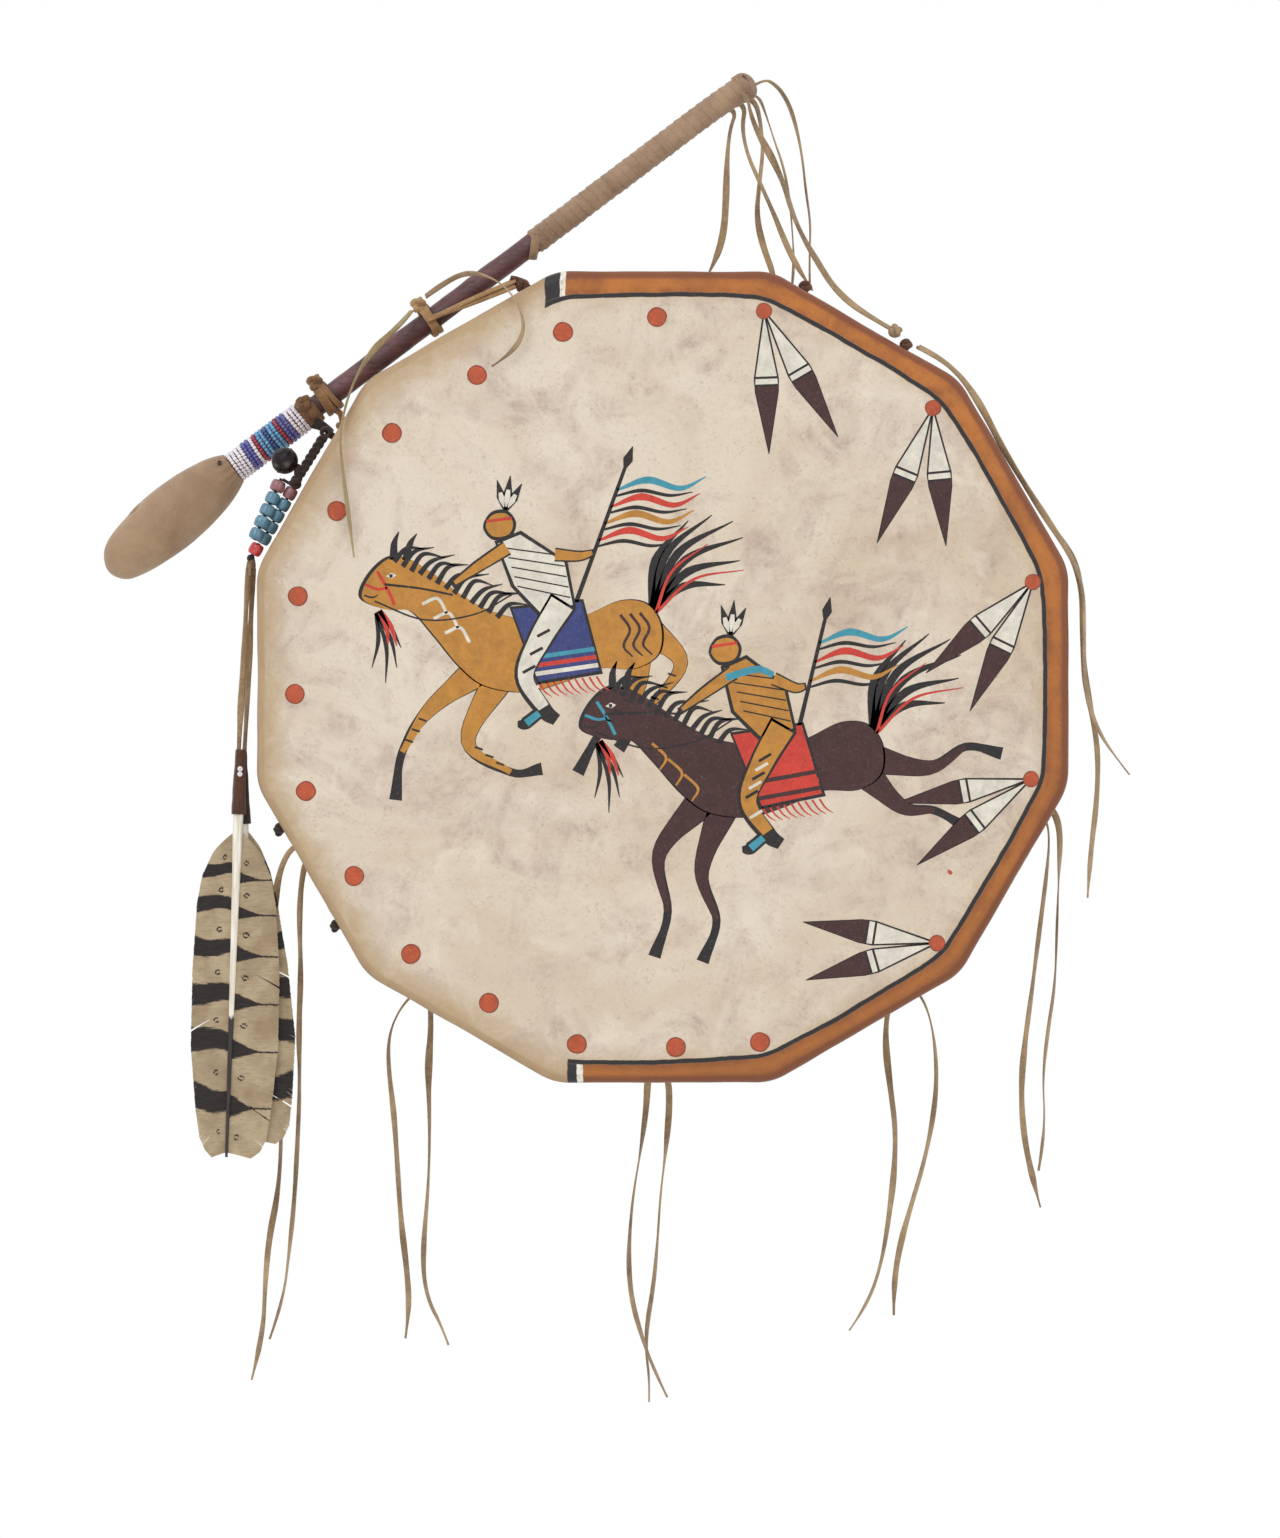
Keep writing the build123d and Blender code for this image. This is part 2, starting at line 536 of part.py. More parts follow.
def vane(plane, scale):
    """The flat of a feather, on both sides of its quill."""
    left = [(-w * scale, -d * scale) for d, w, _ in VANE_WIDTHS]
    right = [(w * scale, -d * scale) for d, _, w in reversed(VANE_WIDTHS)]
    top, tip = (0, -45 * scale), (1.0, -(FEATHER_LENGTH + 1) * scale)
    outline = Spline(top, *left, tip, *right, periodic=True)
    return extrude(plane * make_face(outline), VANE_THICK / 2, both=True)


FEATHERS = ((0.0, 2.2, 1.0, SLEEVE_LENGTH), (BACK_FEATHER_TURN_DEG, -2.4, 0.97, SLEEVE_LENGTH + 5))


def feathers():
    """Sleeves, quills and vanes of the front and the back feather."""
    sleeves, quills, vanes = [], [], []
    for turn, forward, scale, sleeve_length in FEATHERS:
        plane = feather_plane(turn, forward)
        shaft = quill(plane)
        quills.append(shaft)
        sleeves.append(sleeve(plane, sleeve_length) - shaft)
        vanes.append(vane(plane, scale) - shaft)
    return sleeves, quills, vanes


# --- every node ---

def grouped(shapes):
    """Several separate solids kept as one node."""
    return Compound(children=[solid for shape in shapes for solid in shape.solids()])


def all_nodes():
    nodes = {f"frame_stave_{i + 1:02d}": stave for i, stave in enumerate(frame_staves())}
    nodes["drumhead"] = drumhead()
    nodes["lacing"] = grouped(lace_spokes())
    nodes["lace_turns"] = grouped(lace_stitches() + lace_loops())
    nodes["grip_ring"] = ring((0, 0, 0), (0, 1, 0), GRIP_RING_R, GRIP_STEEL_R)
    nodes["grip_wrap"] = grip_wrap()
    nodes["fringe_knots"] = grouped(fringe_knots())
    nodes["rim_knots"] = grouped(rim_knots())
    nodes["beater_tie_upper"] = beater_tie_upper()
    nodes["beater_tie_lower"] = beater_tie_lower()
    nodes["beater_stick"] = stick_tube(STICK_HEAD_END, BUTT, STICK_R, 0)
    nodes["beater_core"] = beater_core()
    nodes["beater_cover"] = beater_cover()
    nodes["bead_sleeve"] = stick_tube(BEADS_START, BEADS_END, SLEEVE_R, STICK_R + FIT_GAP)
    nodes["seed_beads"] = grouped(seed_beads())
    nodes["beater_neck_tie"] = stick_tube(BEADS_END, NECK_END, SLEEVE_R + 0.6, STICK_R + FIT_GAP)
    nodes["stick_wrap"] = stick_wrap()
    nodes["pendant_braid"] = pendant_braid()
    nodes["pendant_bell"] = pendant_bell()
    nodes["bell_pellet"] = ball(BELL_CENTRE - Vector(0, 0, BELL_R - BELL_WALL - PELLET_R - 0.1), PELLET_R)
    nodes["bead_strands"] = grouped(bead_strands())
    nodes["mauve_beads"] = grouped(strand_beads(BEADS_DOWN[:1]))
    nodes["blue_beads"] = grouped(strand_beads(BEADS_DOWN[1:]))
    nodes["red_bead"] = crow_bead(beside_slope(46.8, 209.6, PENDANT_Y), SLOPE_DOWN, CROW_BEAD_LENGTH)
    sleeves, quills, vanes = feathers()
    nodes["leather_sleeves"] = grouped(sleeves)
    nodes["quills"] = grouped(quills)
    nodes["feather_vanes"] = grouped(vanes)
    for name in ROUTES:
        nodes[name] = thong(name)
    return nodes


if __name__ == "__main__":
    os.makedirs("parts", exist_ok=True)
    for node_name, shape in all_nodes().items():
        export_step(shape, f"parts/{node_name}.step")
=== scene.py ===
from math import cos, exp, hypot, pi, radians, sin, sqrt

import bpy
import numpy as np
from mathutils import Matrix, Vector, noise
from mathutils.geometry import tessellate_polygon


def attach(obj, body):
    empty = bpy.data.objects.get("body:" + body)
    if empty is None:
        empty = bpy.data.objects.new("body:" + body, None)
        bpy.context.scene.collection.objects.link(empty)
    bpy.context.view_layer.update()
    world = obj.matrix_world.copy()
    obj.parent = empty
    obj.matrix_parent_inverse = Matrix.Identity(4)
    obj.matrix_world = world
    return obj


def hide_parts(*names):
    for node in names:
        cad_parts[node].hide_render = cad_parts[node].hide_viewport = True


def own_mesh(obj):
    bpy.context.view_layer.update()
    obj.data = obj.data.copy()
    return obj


# A hand-held frame drum with its beater, fringe and pendant. Helpers work in millimetres, and
# meshes are written in metres. +Z is up and the playing face looks towards -Y.
MM = 0.001
TURN = 2 * pi
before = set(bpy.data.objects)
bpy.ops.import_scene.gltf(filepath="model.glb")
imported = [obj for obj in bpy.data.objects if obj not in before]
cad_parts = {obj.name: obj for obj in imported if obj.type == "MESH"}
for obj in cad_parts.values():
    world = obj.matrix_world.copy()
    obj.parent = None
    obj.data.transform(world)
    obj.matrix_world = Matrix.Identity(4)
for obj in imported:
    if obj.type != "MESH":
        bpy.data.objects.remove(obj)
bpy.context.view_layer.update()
random = np.random.default_rng(7)

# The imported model's own dimensions, in mm.
APOTHEM = 203.2
FACE_Y = -65.0
HEM_BACK_Y = -1.8
HEM_WIDTH = 24
HIDE = 1.6
EDGE_ROUND = 4.6
CORNER_ROUND = 30.0
SIDE_DEG = 30.0
HOLE_CIRCLE_R = 185.9
HOLE_FROM_CORNER_DEG = 7.5
GRIP_RING_R = 38.0

# --- materials ---

class Look:
    """A procedural material, with short calls for the nodes that it needs."""

    def __init__(self, name, roughness=0.6, metallic=0.0, sheen=0.0, coat=0.0):
        self.material = bpy.data.materials.new(name)
        self.material.use_nodes = True
        self.nodes = self.material.node_tree.nodes
        self.links = self.material.node_tree.links
        self.shader = next(n for n in self.nodes if n.type == "BSDF_PRINCIPLED")
        for key, value in (("Roughness", roughness), ("Metallic", metallic), ("Sheen Weight", sheen),
                           ("Coat Weight", coat)):
            self.shader.inputs[key].default_value = value
        self.place = self.node("TexCoord", "Object")

    def put(self, socket, value):
        if isinstance(value, bpy.types.NodeSocket):
            self.links.new(value, socket)
        else:
            socket.default_value = (*value, 1.0) if socket.type == "RGBA" else value

    def node(self, kind, output, inputs=(), **settings):
        """A new node with its settings and inputs, by name or number: one of its outputs."""
        node = self.nodes.new("ShaderNode" + kind)
        for key, value in settings.items():
            setattr(node, key, value)
        for key, value in dict(inputs).items():
            self.put(node.inputs[key], value)
        return node.outputs[output]

    def coordinates(self, stretch, turn=(0, 0, 0)):
        return self.node("Mapping", "Vector", {"Vector": self.place, "Scale": stretch, "Rotation": turn})

    def noise(self, per_metre, detail=4.0, rough=0.55, warp=0.0, where=None):
        return self.node("TexNoise", "Fac", {"Vector": where or self.place, "Scale": per_metre,
                                             "Detail": detail, "Roughness": rough, "Distortion": warp})

    def axis(self, which):
        return self.node("SeparateXYZ", which, {0: self.place})

    def attribute(self, name):
        return self.node("Attribute", "Fac", attribute_name=name)

    def math(self, operation, a, b=0.0):
        return self.node("Math", 0, {0: a, 1: b}, operation=operation)

    def plus(self, a, b):
        return self.math("ADD", a, b)

    def minus(self, a, b):
        return self.math("SUBTRACT", a, b)

    def times(self, a, b):
        return self.math("MULTIPLY", a, b)

    def ramp(self, value, low, high, start=0.0, end=1.0):
        """start below low, end above high, and a straight run between."""
        return self.node("MapRange", 0, enumerate((value, low, high, start, end)))

    def blend(self, share, a, b):
        return self.node("Mix", 2, {0: share, 6: a, 7: b}, data_type="RGBA")

    def wash(self, tone, colour, *ramp):
        """A colour laid over a tone, as thickly as the ramp says."""
        return self.blend(self.ramp(*ramp), tone, colour)

    def finish(self, colour, height, depth_mm=0.3, roughness=None):
        self.put(self.shader.inputs["Base Color"], colour)
        if roughness is not None:
            self.put(self.shader.inputs["Roughness"], roughness)
        bump = self.node("Bump", 0, {"Strength": 1.0, "Distance": depth_mm * MM, "Height": height})
        self.links.new(bump, self.shader.inputs["Normal"])
        return self.material


def rgb(red, green, blue):
    """A display colour, 0 to 255, as the linear colour that shaders use."""
    shares = (level / 255 for level in (red, green, blue))
    return tuple(s / 12.92 if s <= 0.04045 else ((s + 0.055) / 1.055) ** 2.4 for s in shares)


def shade(colour, factor, lift=0.0):
    return tuple(min(1.0, c * factor + lift) for c in colour)


def suede(name, colour, dark, nap=0.25, spots=900.0):
    look = Look(name, roughness=0.92, sheen=0.25)
    fine, mid = look.noise(spots, 5, 0.7), look.noise(190, 4, 0.6, 0.3)
    tone = look.wash(colour, dark, look.noise(35, 5, 0.6, 0.4), 0.36, 0.66)
    tone = look.wash(tone, dark, mid, 0.52, 0.78, 0.0, 0.5)
    tone = look.wash(tone, shade(colour, 1.35, 0.02), fine, 0.5, 0.75, 0.0, 0.55)
    return look.finish(tone, look.plus(fine, mid), nap)


def paint(name, colour, worn=0.25):
    """Hand-brushed paint on hide: streaks, thin spots and a fine grain."""
    look = Look(name, roughness=0.62)
    grain = look.noise(900, 3, 0.6)
    thin = tuple(c + (h - c) * worn for c, h in zip(colour, rgb(190, 170, 140)))
    dark = shade(colour, 0.72)
    tone = look.wash(colour, dark, look.noise(160, 4, 0.6, 0.5), 0.35, 0.7)
    tone = look.wash(tone, dark, look.noise(330, 5, 0.7), 0.5, 0.66, 0.0, 0.55)
    return look.finish(look.wash(tone, thin, grain, 0.56, 0.78), grain, 0.05)


def glassy(name, colour, pale):
    look = Look(name, roughness=0.16, coat=0.4)
    dust = look.noise(1500, 3, 0.7)
    tone = look.wash(colour, pale, look.noise(420, 3, 0.6, 0.3), 0.4, 0.7)
    return look.finish(tone, dust, 0.02, look.ramp(dust, 0.4, 0.75, 0.12, 0.4))


def timber(name, colour, dark, turn_deg, gloss):
    """Straight-grained wood, with the grain along X once turned about Y."""
    look = Look(name, roughness=gloss)
    along = look.coordinates((6, 90, 90), (0, radians(turn_deg), 0))
    grain, pore = look.noise(1.0, 6, 0.65, 0.6, along), look.noise(6.0, 4, 0.7, 0.2, along)
    tone = look.wash(colour, dark, grain, 0.38, 0.64)
    tone = look.wash(tone, shade(dark, 0.5), pore, 0.55, 0.72, 0.0, 0.6)
    tone = look.wash(tone, shade(colour, 1.3), look.noise(20, 3), 0.45, 0.7, 0.0, 0.35)
    worn = look.ramp(pore, 0.4, 0.7, gloss - 0.1, gloss + 0.25)
    return look.finish(tone, look.plus(grain, pore), 0.25, worn)


def metal(name, colour, wear):
    look = Look(name, roughness=0.42, metallic=0.85)
    cloud, pit = look.noise(260, 5, 0.65, 0.6), look.noise(1400, 4, 0.7)
    return look.finish(look.wash(colour, wear, cloud, 0.48, 0.72), look.plus(cloud, pit), 0.12,
                       look.ramp(cloud, 0.3, 0.7, 0.28, 0.62))


def painted_hide():
    """Parchment rawhide, with the painted rim on the front right. The mesh carries band, the
    distance outside the rim line, edge, the distance in from the drum's outer side, and inside."""
    look = Look("painted_rawhide", roughness=0.55)
    x, z, edge, hidden = look.axis("X"), look.axis("Z"), look.attribute("edge"), look.attribute("inside")
    broad, blotch = look.noise(9, 5, 0.6, 0.8), look.noise(26, 6, 0.66, 1.2)
    mid, speck = look.noise(85, 5, 0.7, 0.8), look.noise(620, 5, 0.72, 0.4)
    stain = look.times(look.ramp(blotch, 0.46, 0.66), look.ramp(mid, 0.36, 0.66, 0.25, 1.0))
    flecks = look.times(look.ramp(speck, 0.52, 0.64), look.ramp(mid, 0.42, 0.62, 0.2, 0.9))
    tone = look.wash(rgb(219, 206, 188), rgb(205, 187, 163), broad, 0.38, 0.64)
    tone = look.blend(look.times(stain, 0.7), tone, rgb(164, 137, 126))
    tone = look.blend(look.times(flecks, 0.4), tone, rgb(146, 118, 106))
    tone = look.wash(tone, rgb(230, 220, 203), look.noise(48, 5, 0.6, 0.5), 0.58, 0.74, 0.0, 0.5)
    # Tan towards the outer edge, from about 19 mm in, and down the side.
    edge_tan_reach = look.plus(edge, look.ramp(mid, 0.3, 0.7, -5.0, 5.0))
    tone = look.wash(tone, rgb(176, 147, 108), edge_tan_reach, 3.0, 19.0, 0.85, 0.0)
    handled = look.times(look.ramp(edge, -4.0, 4.0, 0.62, 0.0), look.ramp(blotch, 0.36, 0.62, 0.45, 1.0))
    tone = look.blend(handled, tone, rgb(146, 114, 78))
    veins = look.noise(1.0, 6, 0.7, 1.4, look.coordinates((34, 110, 34)))
    veined = look.times(look.ramp(edge, -5.0, -1.0, 0.7, 0.0), look.ramp(veins, 0.52, 0.66))
    tone = look.blend(veined, tone, rgb(112, 82, 54))
    # The rim: orange, with a black line inside it and a black and white block at each end.
    wobble = look.ramp(look.noise(70, 3), 0.3, 0.7, -0.7, 0.7)
    band = look.plus(look.attribute("band"), look.ramp(look.noise(90, 3), 0.3, 0.7, -0.25, 0.25))
    is_top = look.ramp(z, -0.01, 0.01)
    past_end = look.minus(x, look.ramp(is_top, 0, 1, -0.0475, -0.059))
    from_end = look.plus(look.times(past_end, 1000.0), wobble)
    on_right = look.ramp(from_end, -0.3, 0.3)
    on_front = look.ramp(look.plus(edge, wobble), -7.0, -6.0)
    in_band = look.times(look.times(look.ramp(band, -0.3, 0.3), on_right), on_front)
    orange = look.wash(rgb(178, 104, 36), rgb(142, 77, 28), look.noise(55, 5, 0.6, 0.6), 0.38, 0.62)
    orange = look.wash(orange, rgb(188, 114, 44), mid, 0.5, 0.72, 0.0, 0.6)
    # Painted shade: the orange darkens over the outer 5 mm, where the hide rolls over the edge.
    orange = look.wash(orange, rgb(120, 62, 32), edge, 0.0, 5.0, 0.85, 0.0)
    # Painted shade: the orange darkens towards the bottom of the drum.
    orange = look.wash(orange, rgb(116, 64, 26), z, -0.2, 0.15, 0.5, 0.0)
    # A brighter stripe along the band's middle: partly the paint's own lighter tone, partly a painted
    # highlight.
    from_painted_highlight = look.math("ABSOLUTE", look.minus(band, 4.2))
    orange = look.wash(orange, rgb(200, 124, 46), from_painted_highlight, 0.5, 4.0, 0.3, 0.0)
    orange = look.blend(look.times(flecks, 0.35), orange, rgb(96, 56, 34))
    white = look.wash(rgb(232, 228, 216), rgb(176, 160, 140), speck, 0.5, 0.66)
    black = look.wash(rgb(30, 26, 26), rgb(84, 70, 60), speck, 0.58, 0.72)
    block = look.ramp(is_top, 0, 1, 4.5, 7.5)
    rim = look.wash(black, white, look.minus(from_end, block), -0.2, 0.2)
    rim = look.wash(rim, orange, look.minus(from_end, look.plus(block, 2.8)), -0.2, 0.2)
    tone = look.blend(in_band, tone, rim)
    line = look.times(look.ramp(band, -2.4, -2.0), look.ramp(band, -0.1, 0.3, 1.0, 0.0))
    tone = look.blend(look.times(line, on_right), tone, black)
    inner = look.wash(rgb(200, 172, 130), rgb(178, 146, 104), broad, 0.34, 0.7)
    inner = look.wash(inner, rgb(156, 122, 84), mid, 0.5, 0.7, 0.0, 0.5)
    inner = look.blend(look.times(flecks, 0.7), inner, rgb(122, 88, 58))
    height = look.plus(look.times(mid, 1.6), look.times(speck, 0.7))
    height = look.plus(height, look.times(look.noise(1300, 3, 0.6), 0.3))
    gloss = look.minus(look.ramp(speck, 0.4, 0.7, 0.46, 0.72), look.times(in_band, 0.16))
    return look.finish(look.blend(hidden, tone, inner), height, 0.22, gloss)


LOOKS = {
    "hide": painted_hide(),
    "lace": suede("dry_rawhide_lace", rgb(214, 190, 150), rgb(164, 132, 92), 0.12, 1300),
    "thong": suede("buckskin_strip", rgb(176, 150, 114), rgb(110, 86, 62), 0.2),
    "tan": suede("tan_buckskin", rgb(186, 152, 108), rgb(146, 110, 72), 0.2),
    "suede": suede("beater_suede", rgb(174, 146, 116), rgb(150, 120, 92), 0.22, 2200),
    "spiral": suede("wrapped_hide", rgb(166, 137, 110), rgb(124, 97, 76), 0.2, 1200),
    "tail": suede("olive_buckskin", rgb(170, 150, 110), rgb(128, 108, 74), 0.2),
    "neck": suede("neck_leather", rgb(164, 126, 84), rgb(104, 70, 44)),
    "dark": suede("dark_leather", rgb(58, 38, 32), rgb(34, 24, 22), 0.2),
    "brown": suede("brown_leather", rgb(108, 68, 50), rgb(70, 42, 30), 0.2),
    "grip": suede("grip_buckskin", rgb(150, 112, 74), rgb(92, 62, 40)),
    "stick": timber("stained_stick", rgb(108, 70, 72), rgb(62, 38, 42), 36.95, 0.45),
    "steel": metal("ring_steel", rgb(150, 150, 150), rgb(110, 100, 92)),
    "bell": metal("blackened_bell", rgb(42, 38, 40), rgb(120, 108, 100)),
    "bead_W": glassy("bead_white", rgb(238, 234, 238), rgb(212, 203, 220)),
    "bead_V": glassy("bead_violet", rgb(72, 78, 158), rgb(110, 112, 180)),
    "bead_R": glassy("bead_dark_red", rgb(140, 26, 52), rgb(170, 48, 70)),
    "bead_B": glassy("bead_sky_blue", rgb(78, 142, 190), rgb(120, 178, 214)),
    "bead_S": glassy("bead_deep_blue", rgb(34, 62, 120), rgb(60, 92, 150)),
    "mauve": glassy("bead_mauve", rgb(150, 100, 104), rgb(120, 74, 80)),
    "blue": glassy("bead_slate_teal", rgb(74, 116, 138), rgb(100, 146, 164)),
    "red": glassy("bead_red", rgb(186, 42, 50), rgb(210, 80, 80)),
}


# --- mesh helpers ---

def to_mesh(name, vertices, faces, looks, body, slot, replaces=(), face_looks=None, values=None, smooth=True):
    """A mesh object from points in mm, riding on a body."""
    data = bpy.data.meshes.new(name)
    data.from_pydata((np.asarray(vertices, float) * MM).tolist(), [], faces)
    for look in [looks] if isinstance(looks, str) else looks:
        data.materials.append(LOOKS[look])
    if face_looks is not None:
        data.polygons.foreach_set("material_index", np.asarray(face_looks, np.int32))
    for key, numbers in (values or {}).items():
        data.attributes.new(key, "FLOAT", "POINT").data.foreach_set("value", np.asarray(numbers, np.float32))
    data.polygons.foreach_set("use_smooth", [smooth] * len(data.polygons))
    data.update()
    obj = bpy.data.objects.new(name, data)
    bpy.context.scene.collection.objects.link(obj)
    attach(obj, body)
    if replaces:
        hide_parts(*replaces)
    return obj


def grid(rows, columns, wrap_rows=False, wrap_columns=True):
    """Four-sided faces between points that stand in rows and columns."""
    faces = []
    for i in range(rows if wrap_rows else rows - 1):
        here, below = i * columns, (i + 1) % rows * columns
        for j in range(columns if wrap_columns else columns - 1):
            right = (j + 1) % columns
            faces.append((here + j, here + right, below + right, below + j))
    return faces


def capped(rows, columns, turned=True):
    """The faces of a tube of rings, closed at both ends."""
    faces = grid(rows, columns)
    faces += [tuple(reversed(range(columns))), tuple((rows - 1) * columns + k for k in range(columns))]
    return [face[::-1] for face in faces] if turned else faces


def angles(count):
    return [TURN * k / count for k in range(count)]


def unit(vector):
    return np.asarray(vector, float) / np.linalg.norm(vector)


def frames(path, first, closed):
    """Two normals carried along a path."""
    ahead = np.roll(path, -1, 0) - np.roll(path, 1, 0) if closed else np.gradient(path, axis=0)
    tangents = ahead / np.linalg.norm(ahead, axis=1)[:, None]
    normal = np.asarray(first, float)
    if abs(normal @ tangents[0]) > 0.95:
        normal = np.array((1.0, 0, 0))
    normals = []
    for tangent in tangents:
        normal = unit(normal - tangent * (normal @ tangent))
        normals.append(normal)
    return np.array(normals), np.cross(tangents, normals)


def strip(path, half_width, half_thick, twist=0.0, around=10, first=(0, 1, 0), closed=False, square=0.6):
    """A strap along a path: (vertices, faces). Widths and twist may be one number or one per point."""
    path = np.asarray(path, float)
    count = len(path)
    normals, sides = frames(path, first, closed)
    widths, thicks, twists = (np.broadcast_to(v, count) for v in (half_width, half_thick, twist))
    turns = np.arange(around) * 2 * pi / around
    across, up = (np.sign(v) * np.abs(v) ** square for v in (np.cos(turns), np.sin(turns)))
    vertices = []
    for i in range(count):
        c, s = cos(twists[i]), sin(twists[i])
        side, normal = sides[i] * c + normals[i] * s, normals[i] * c - sides[i] * s
        vertices.extend(path[i] + np.outer(across * widths[i], side) + np.outer(up * thicks[i], normal))
    faces = grid(count, around, closed)
    if not closed:
        faces += [tuple(range(around)), tuple((count - 1) * around + k for k in reversed(range(around)))]
    return np.array(vertices), faces


def smooth_line(points, per=8, closed=False):
    """A Catmull-Rom line through the points."""
    points = np.asarray(points, float)
    count = len(points)
    line = []
    for i in range(count if closed else count - 1):
        if closed:
            a, b, c, d = (points[(i + k) % count] for k in (-1, 0, 1, 2))
        else:
            b, c = points[i], points[i + 1]
            a = points[i - 1] if i else 2 * b - c
            d = points[i + 2] if i + 2 < count else 2 * c - b
        for t in np.arange(per) / per:
            line.append(0.5 * (2 * b + (c - a) * t + (2 * a - 5 * b + 4 * c - d) * t**2
                               + (3 * b - a - 3 * c + d) * t**3))
    if not closed:
        line.append(points[-1])
    return np.array(line)


class Pile:
    """Several shapes collected into one mesh."""

    def __init__(self):
        self.vertices, self.faces, self.looks = [], [], []

    def add(self, vertices, faces, look=0):
        start = len(self.vertices)
        self.vertices.extend(np.asarray(vertices, float).tolist())
        self.faces.extend(tuple(start + i for i in face) for face in faces)
        self.looks.extend([look] * len(faces))

    def strap(self, points, per, width, thick, twist=0.0, around=8, look=0):
        """A strap along a smooth line through the points."""
        self.add(*strip(smooth_line(points, per), width, thick, twist, around), look)

    def ring(self, path, width, thick, twist=pi / 2, around=8, first=(0, 1, 0), square=0.6, look=0):
        """A strap that closes on itself."""
        self.add(*strip(path, width, thick, twist, around, first, True, square), look)

    def build(self, name, looks, body, slot, *replaces, smooth=True):
        to_mesh(name, self.vertices, self.faces, looks, body, slot, replaces, self.looks, smooth=smooth)


def lump(position, size=1.0, seed=0.0):
    """Smooth noise about zero at a point in mm."""
    return noise.noise(Vector(position) / size + Vector((seed, seed * 1.7, -seed)))


def round_lump(along, radius, angle, size, seed=0.0):
    """Smooth noise at a place on a round bar."""
    return lump((along, radius * cos(angle), radius * sin(angle)), size, seed)


def hump(away, width):
    """A smooth rise: 1 at no distance, falling away over this width."""
    return exp(-((away / width) ** 2))


def polar(radius, angle_deg, y=0.0):
    angle = radians(angle_deg)
    return np.array((radius * cos(angle), y, radius * sin(angle)))


def knot(centre, axis, radius, tube, squash=0.8):
    """An overhand knot: a trefoil pulled tight, with its axis along axis."""
    axis = unit(axis)
    side = unit(np.cross(axis, (0.31, 0.52, 0.8)))
    other = np.cross(axis, side)
    spread = radius - tube
    path = []
    for t in angles(48):
        reach = spread * (0.62 + 0.38 * cos(3 * t))
        path.append(np.asarray(centre) + side * reach * cos(2 * t) + other * reach * sin(2 * t)
                    + axis * spread * squash * sin(3 * t))
    return strip(path, tube * 1.25, tube * 0.8, 0.0, 8, axis, True)


# --- the drumhead ---

def outline_radius(angle_deg, apothem):
    """Radius of the twelve-sided outline with rounded corners, flat side up."""
    from_flat = radians(abs((angle_deg + SIDE_DEG / 2) % SIDE_DEG - SIDE_DEG / 2))
    half = radians(SIDE_DEG / 2)
    flat = apothem / cos(from_flat)
    centre = (apothem - CORNER_ROUND) / cos(half)
    aside = centre * sin(half - from_flat)
    if apothem <= CORNER_ROUND or aside >= CORNER_ROUND * sin(half):
        return flat
    return centre * cos(half - from_flat) + sqrt(CORNER_ROUND**2 - aside**2)


def hide_profile():
    """(inset from the outer side, y, part) from the face's centre round to the inside. The parts
    are 0 the face, 1 the side, 2 the back edge, 3 the hem and 4 the inside."""
    rows = [(APOTHEM - r, FACE_Y, 0) for r in (0.5, 25, 50, 75, 100, 120, 138, 152, 162, 170, 176, 180)]
    rows += [(inset, FACE_Y, 0) for inset in (20.5, 18, 15.5, 13, 11, 9, 7.5, 6, EDGE_ROUND)]
    for step in range(1, 7):
        angle = radians(15 * step)
        rows.append((EDGE_ROUND * (1 - sin(angle)), FACE_Y + EDGE_ROUND * (1 - cos(angle)), 0))
    flat_side = HEM_BACK_Y - FACE_Y - 2 * EDGE_ROUND
    rows += [(0, FACE_Y + EDGE_ROUND + flat_side * k / 18, 1) for k in range(1, 19)]
    for step in range(1, 6):
        angle = radians(18 * step)
        rows.append((EDGE_ROUND * (1 - cos(angle)), HEM_BACK_Y - EDGE_ROUND * (1 - sin(angle)), 2))
    rows += [(EDGE_ROUND + (HEM_WIDTH - EDGE_ROUND) * k / 12, HEM_BACK_Y, 3) for k in range(1, 13)]
    rows += [(HEM_WIDTH + 0.1, HEM_BACK_Y - HIDE / 2, 3), (HEM_WIDTH, HEM_BACK_Y - HIDE, 3)]
    rows += [(inset, HEM_BACK_Y - HIDE, 4) for inset in (12, 1.7)]
    rows += [(inset, FACE_Y + HIDE, 4) for inset in (1.7, 8, 14)]
    return rows + [(APOTHEM - r, FACE_Y + HIDE, 4) for r in (170, 140, 100, 60, 0.5)]


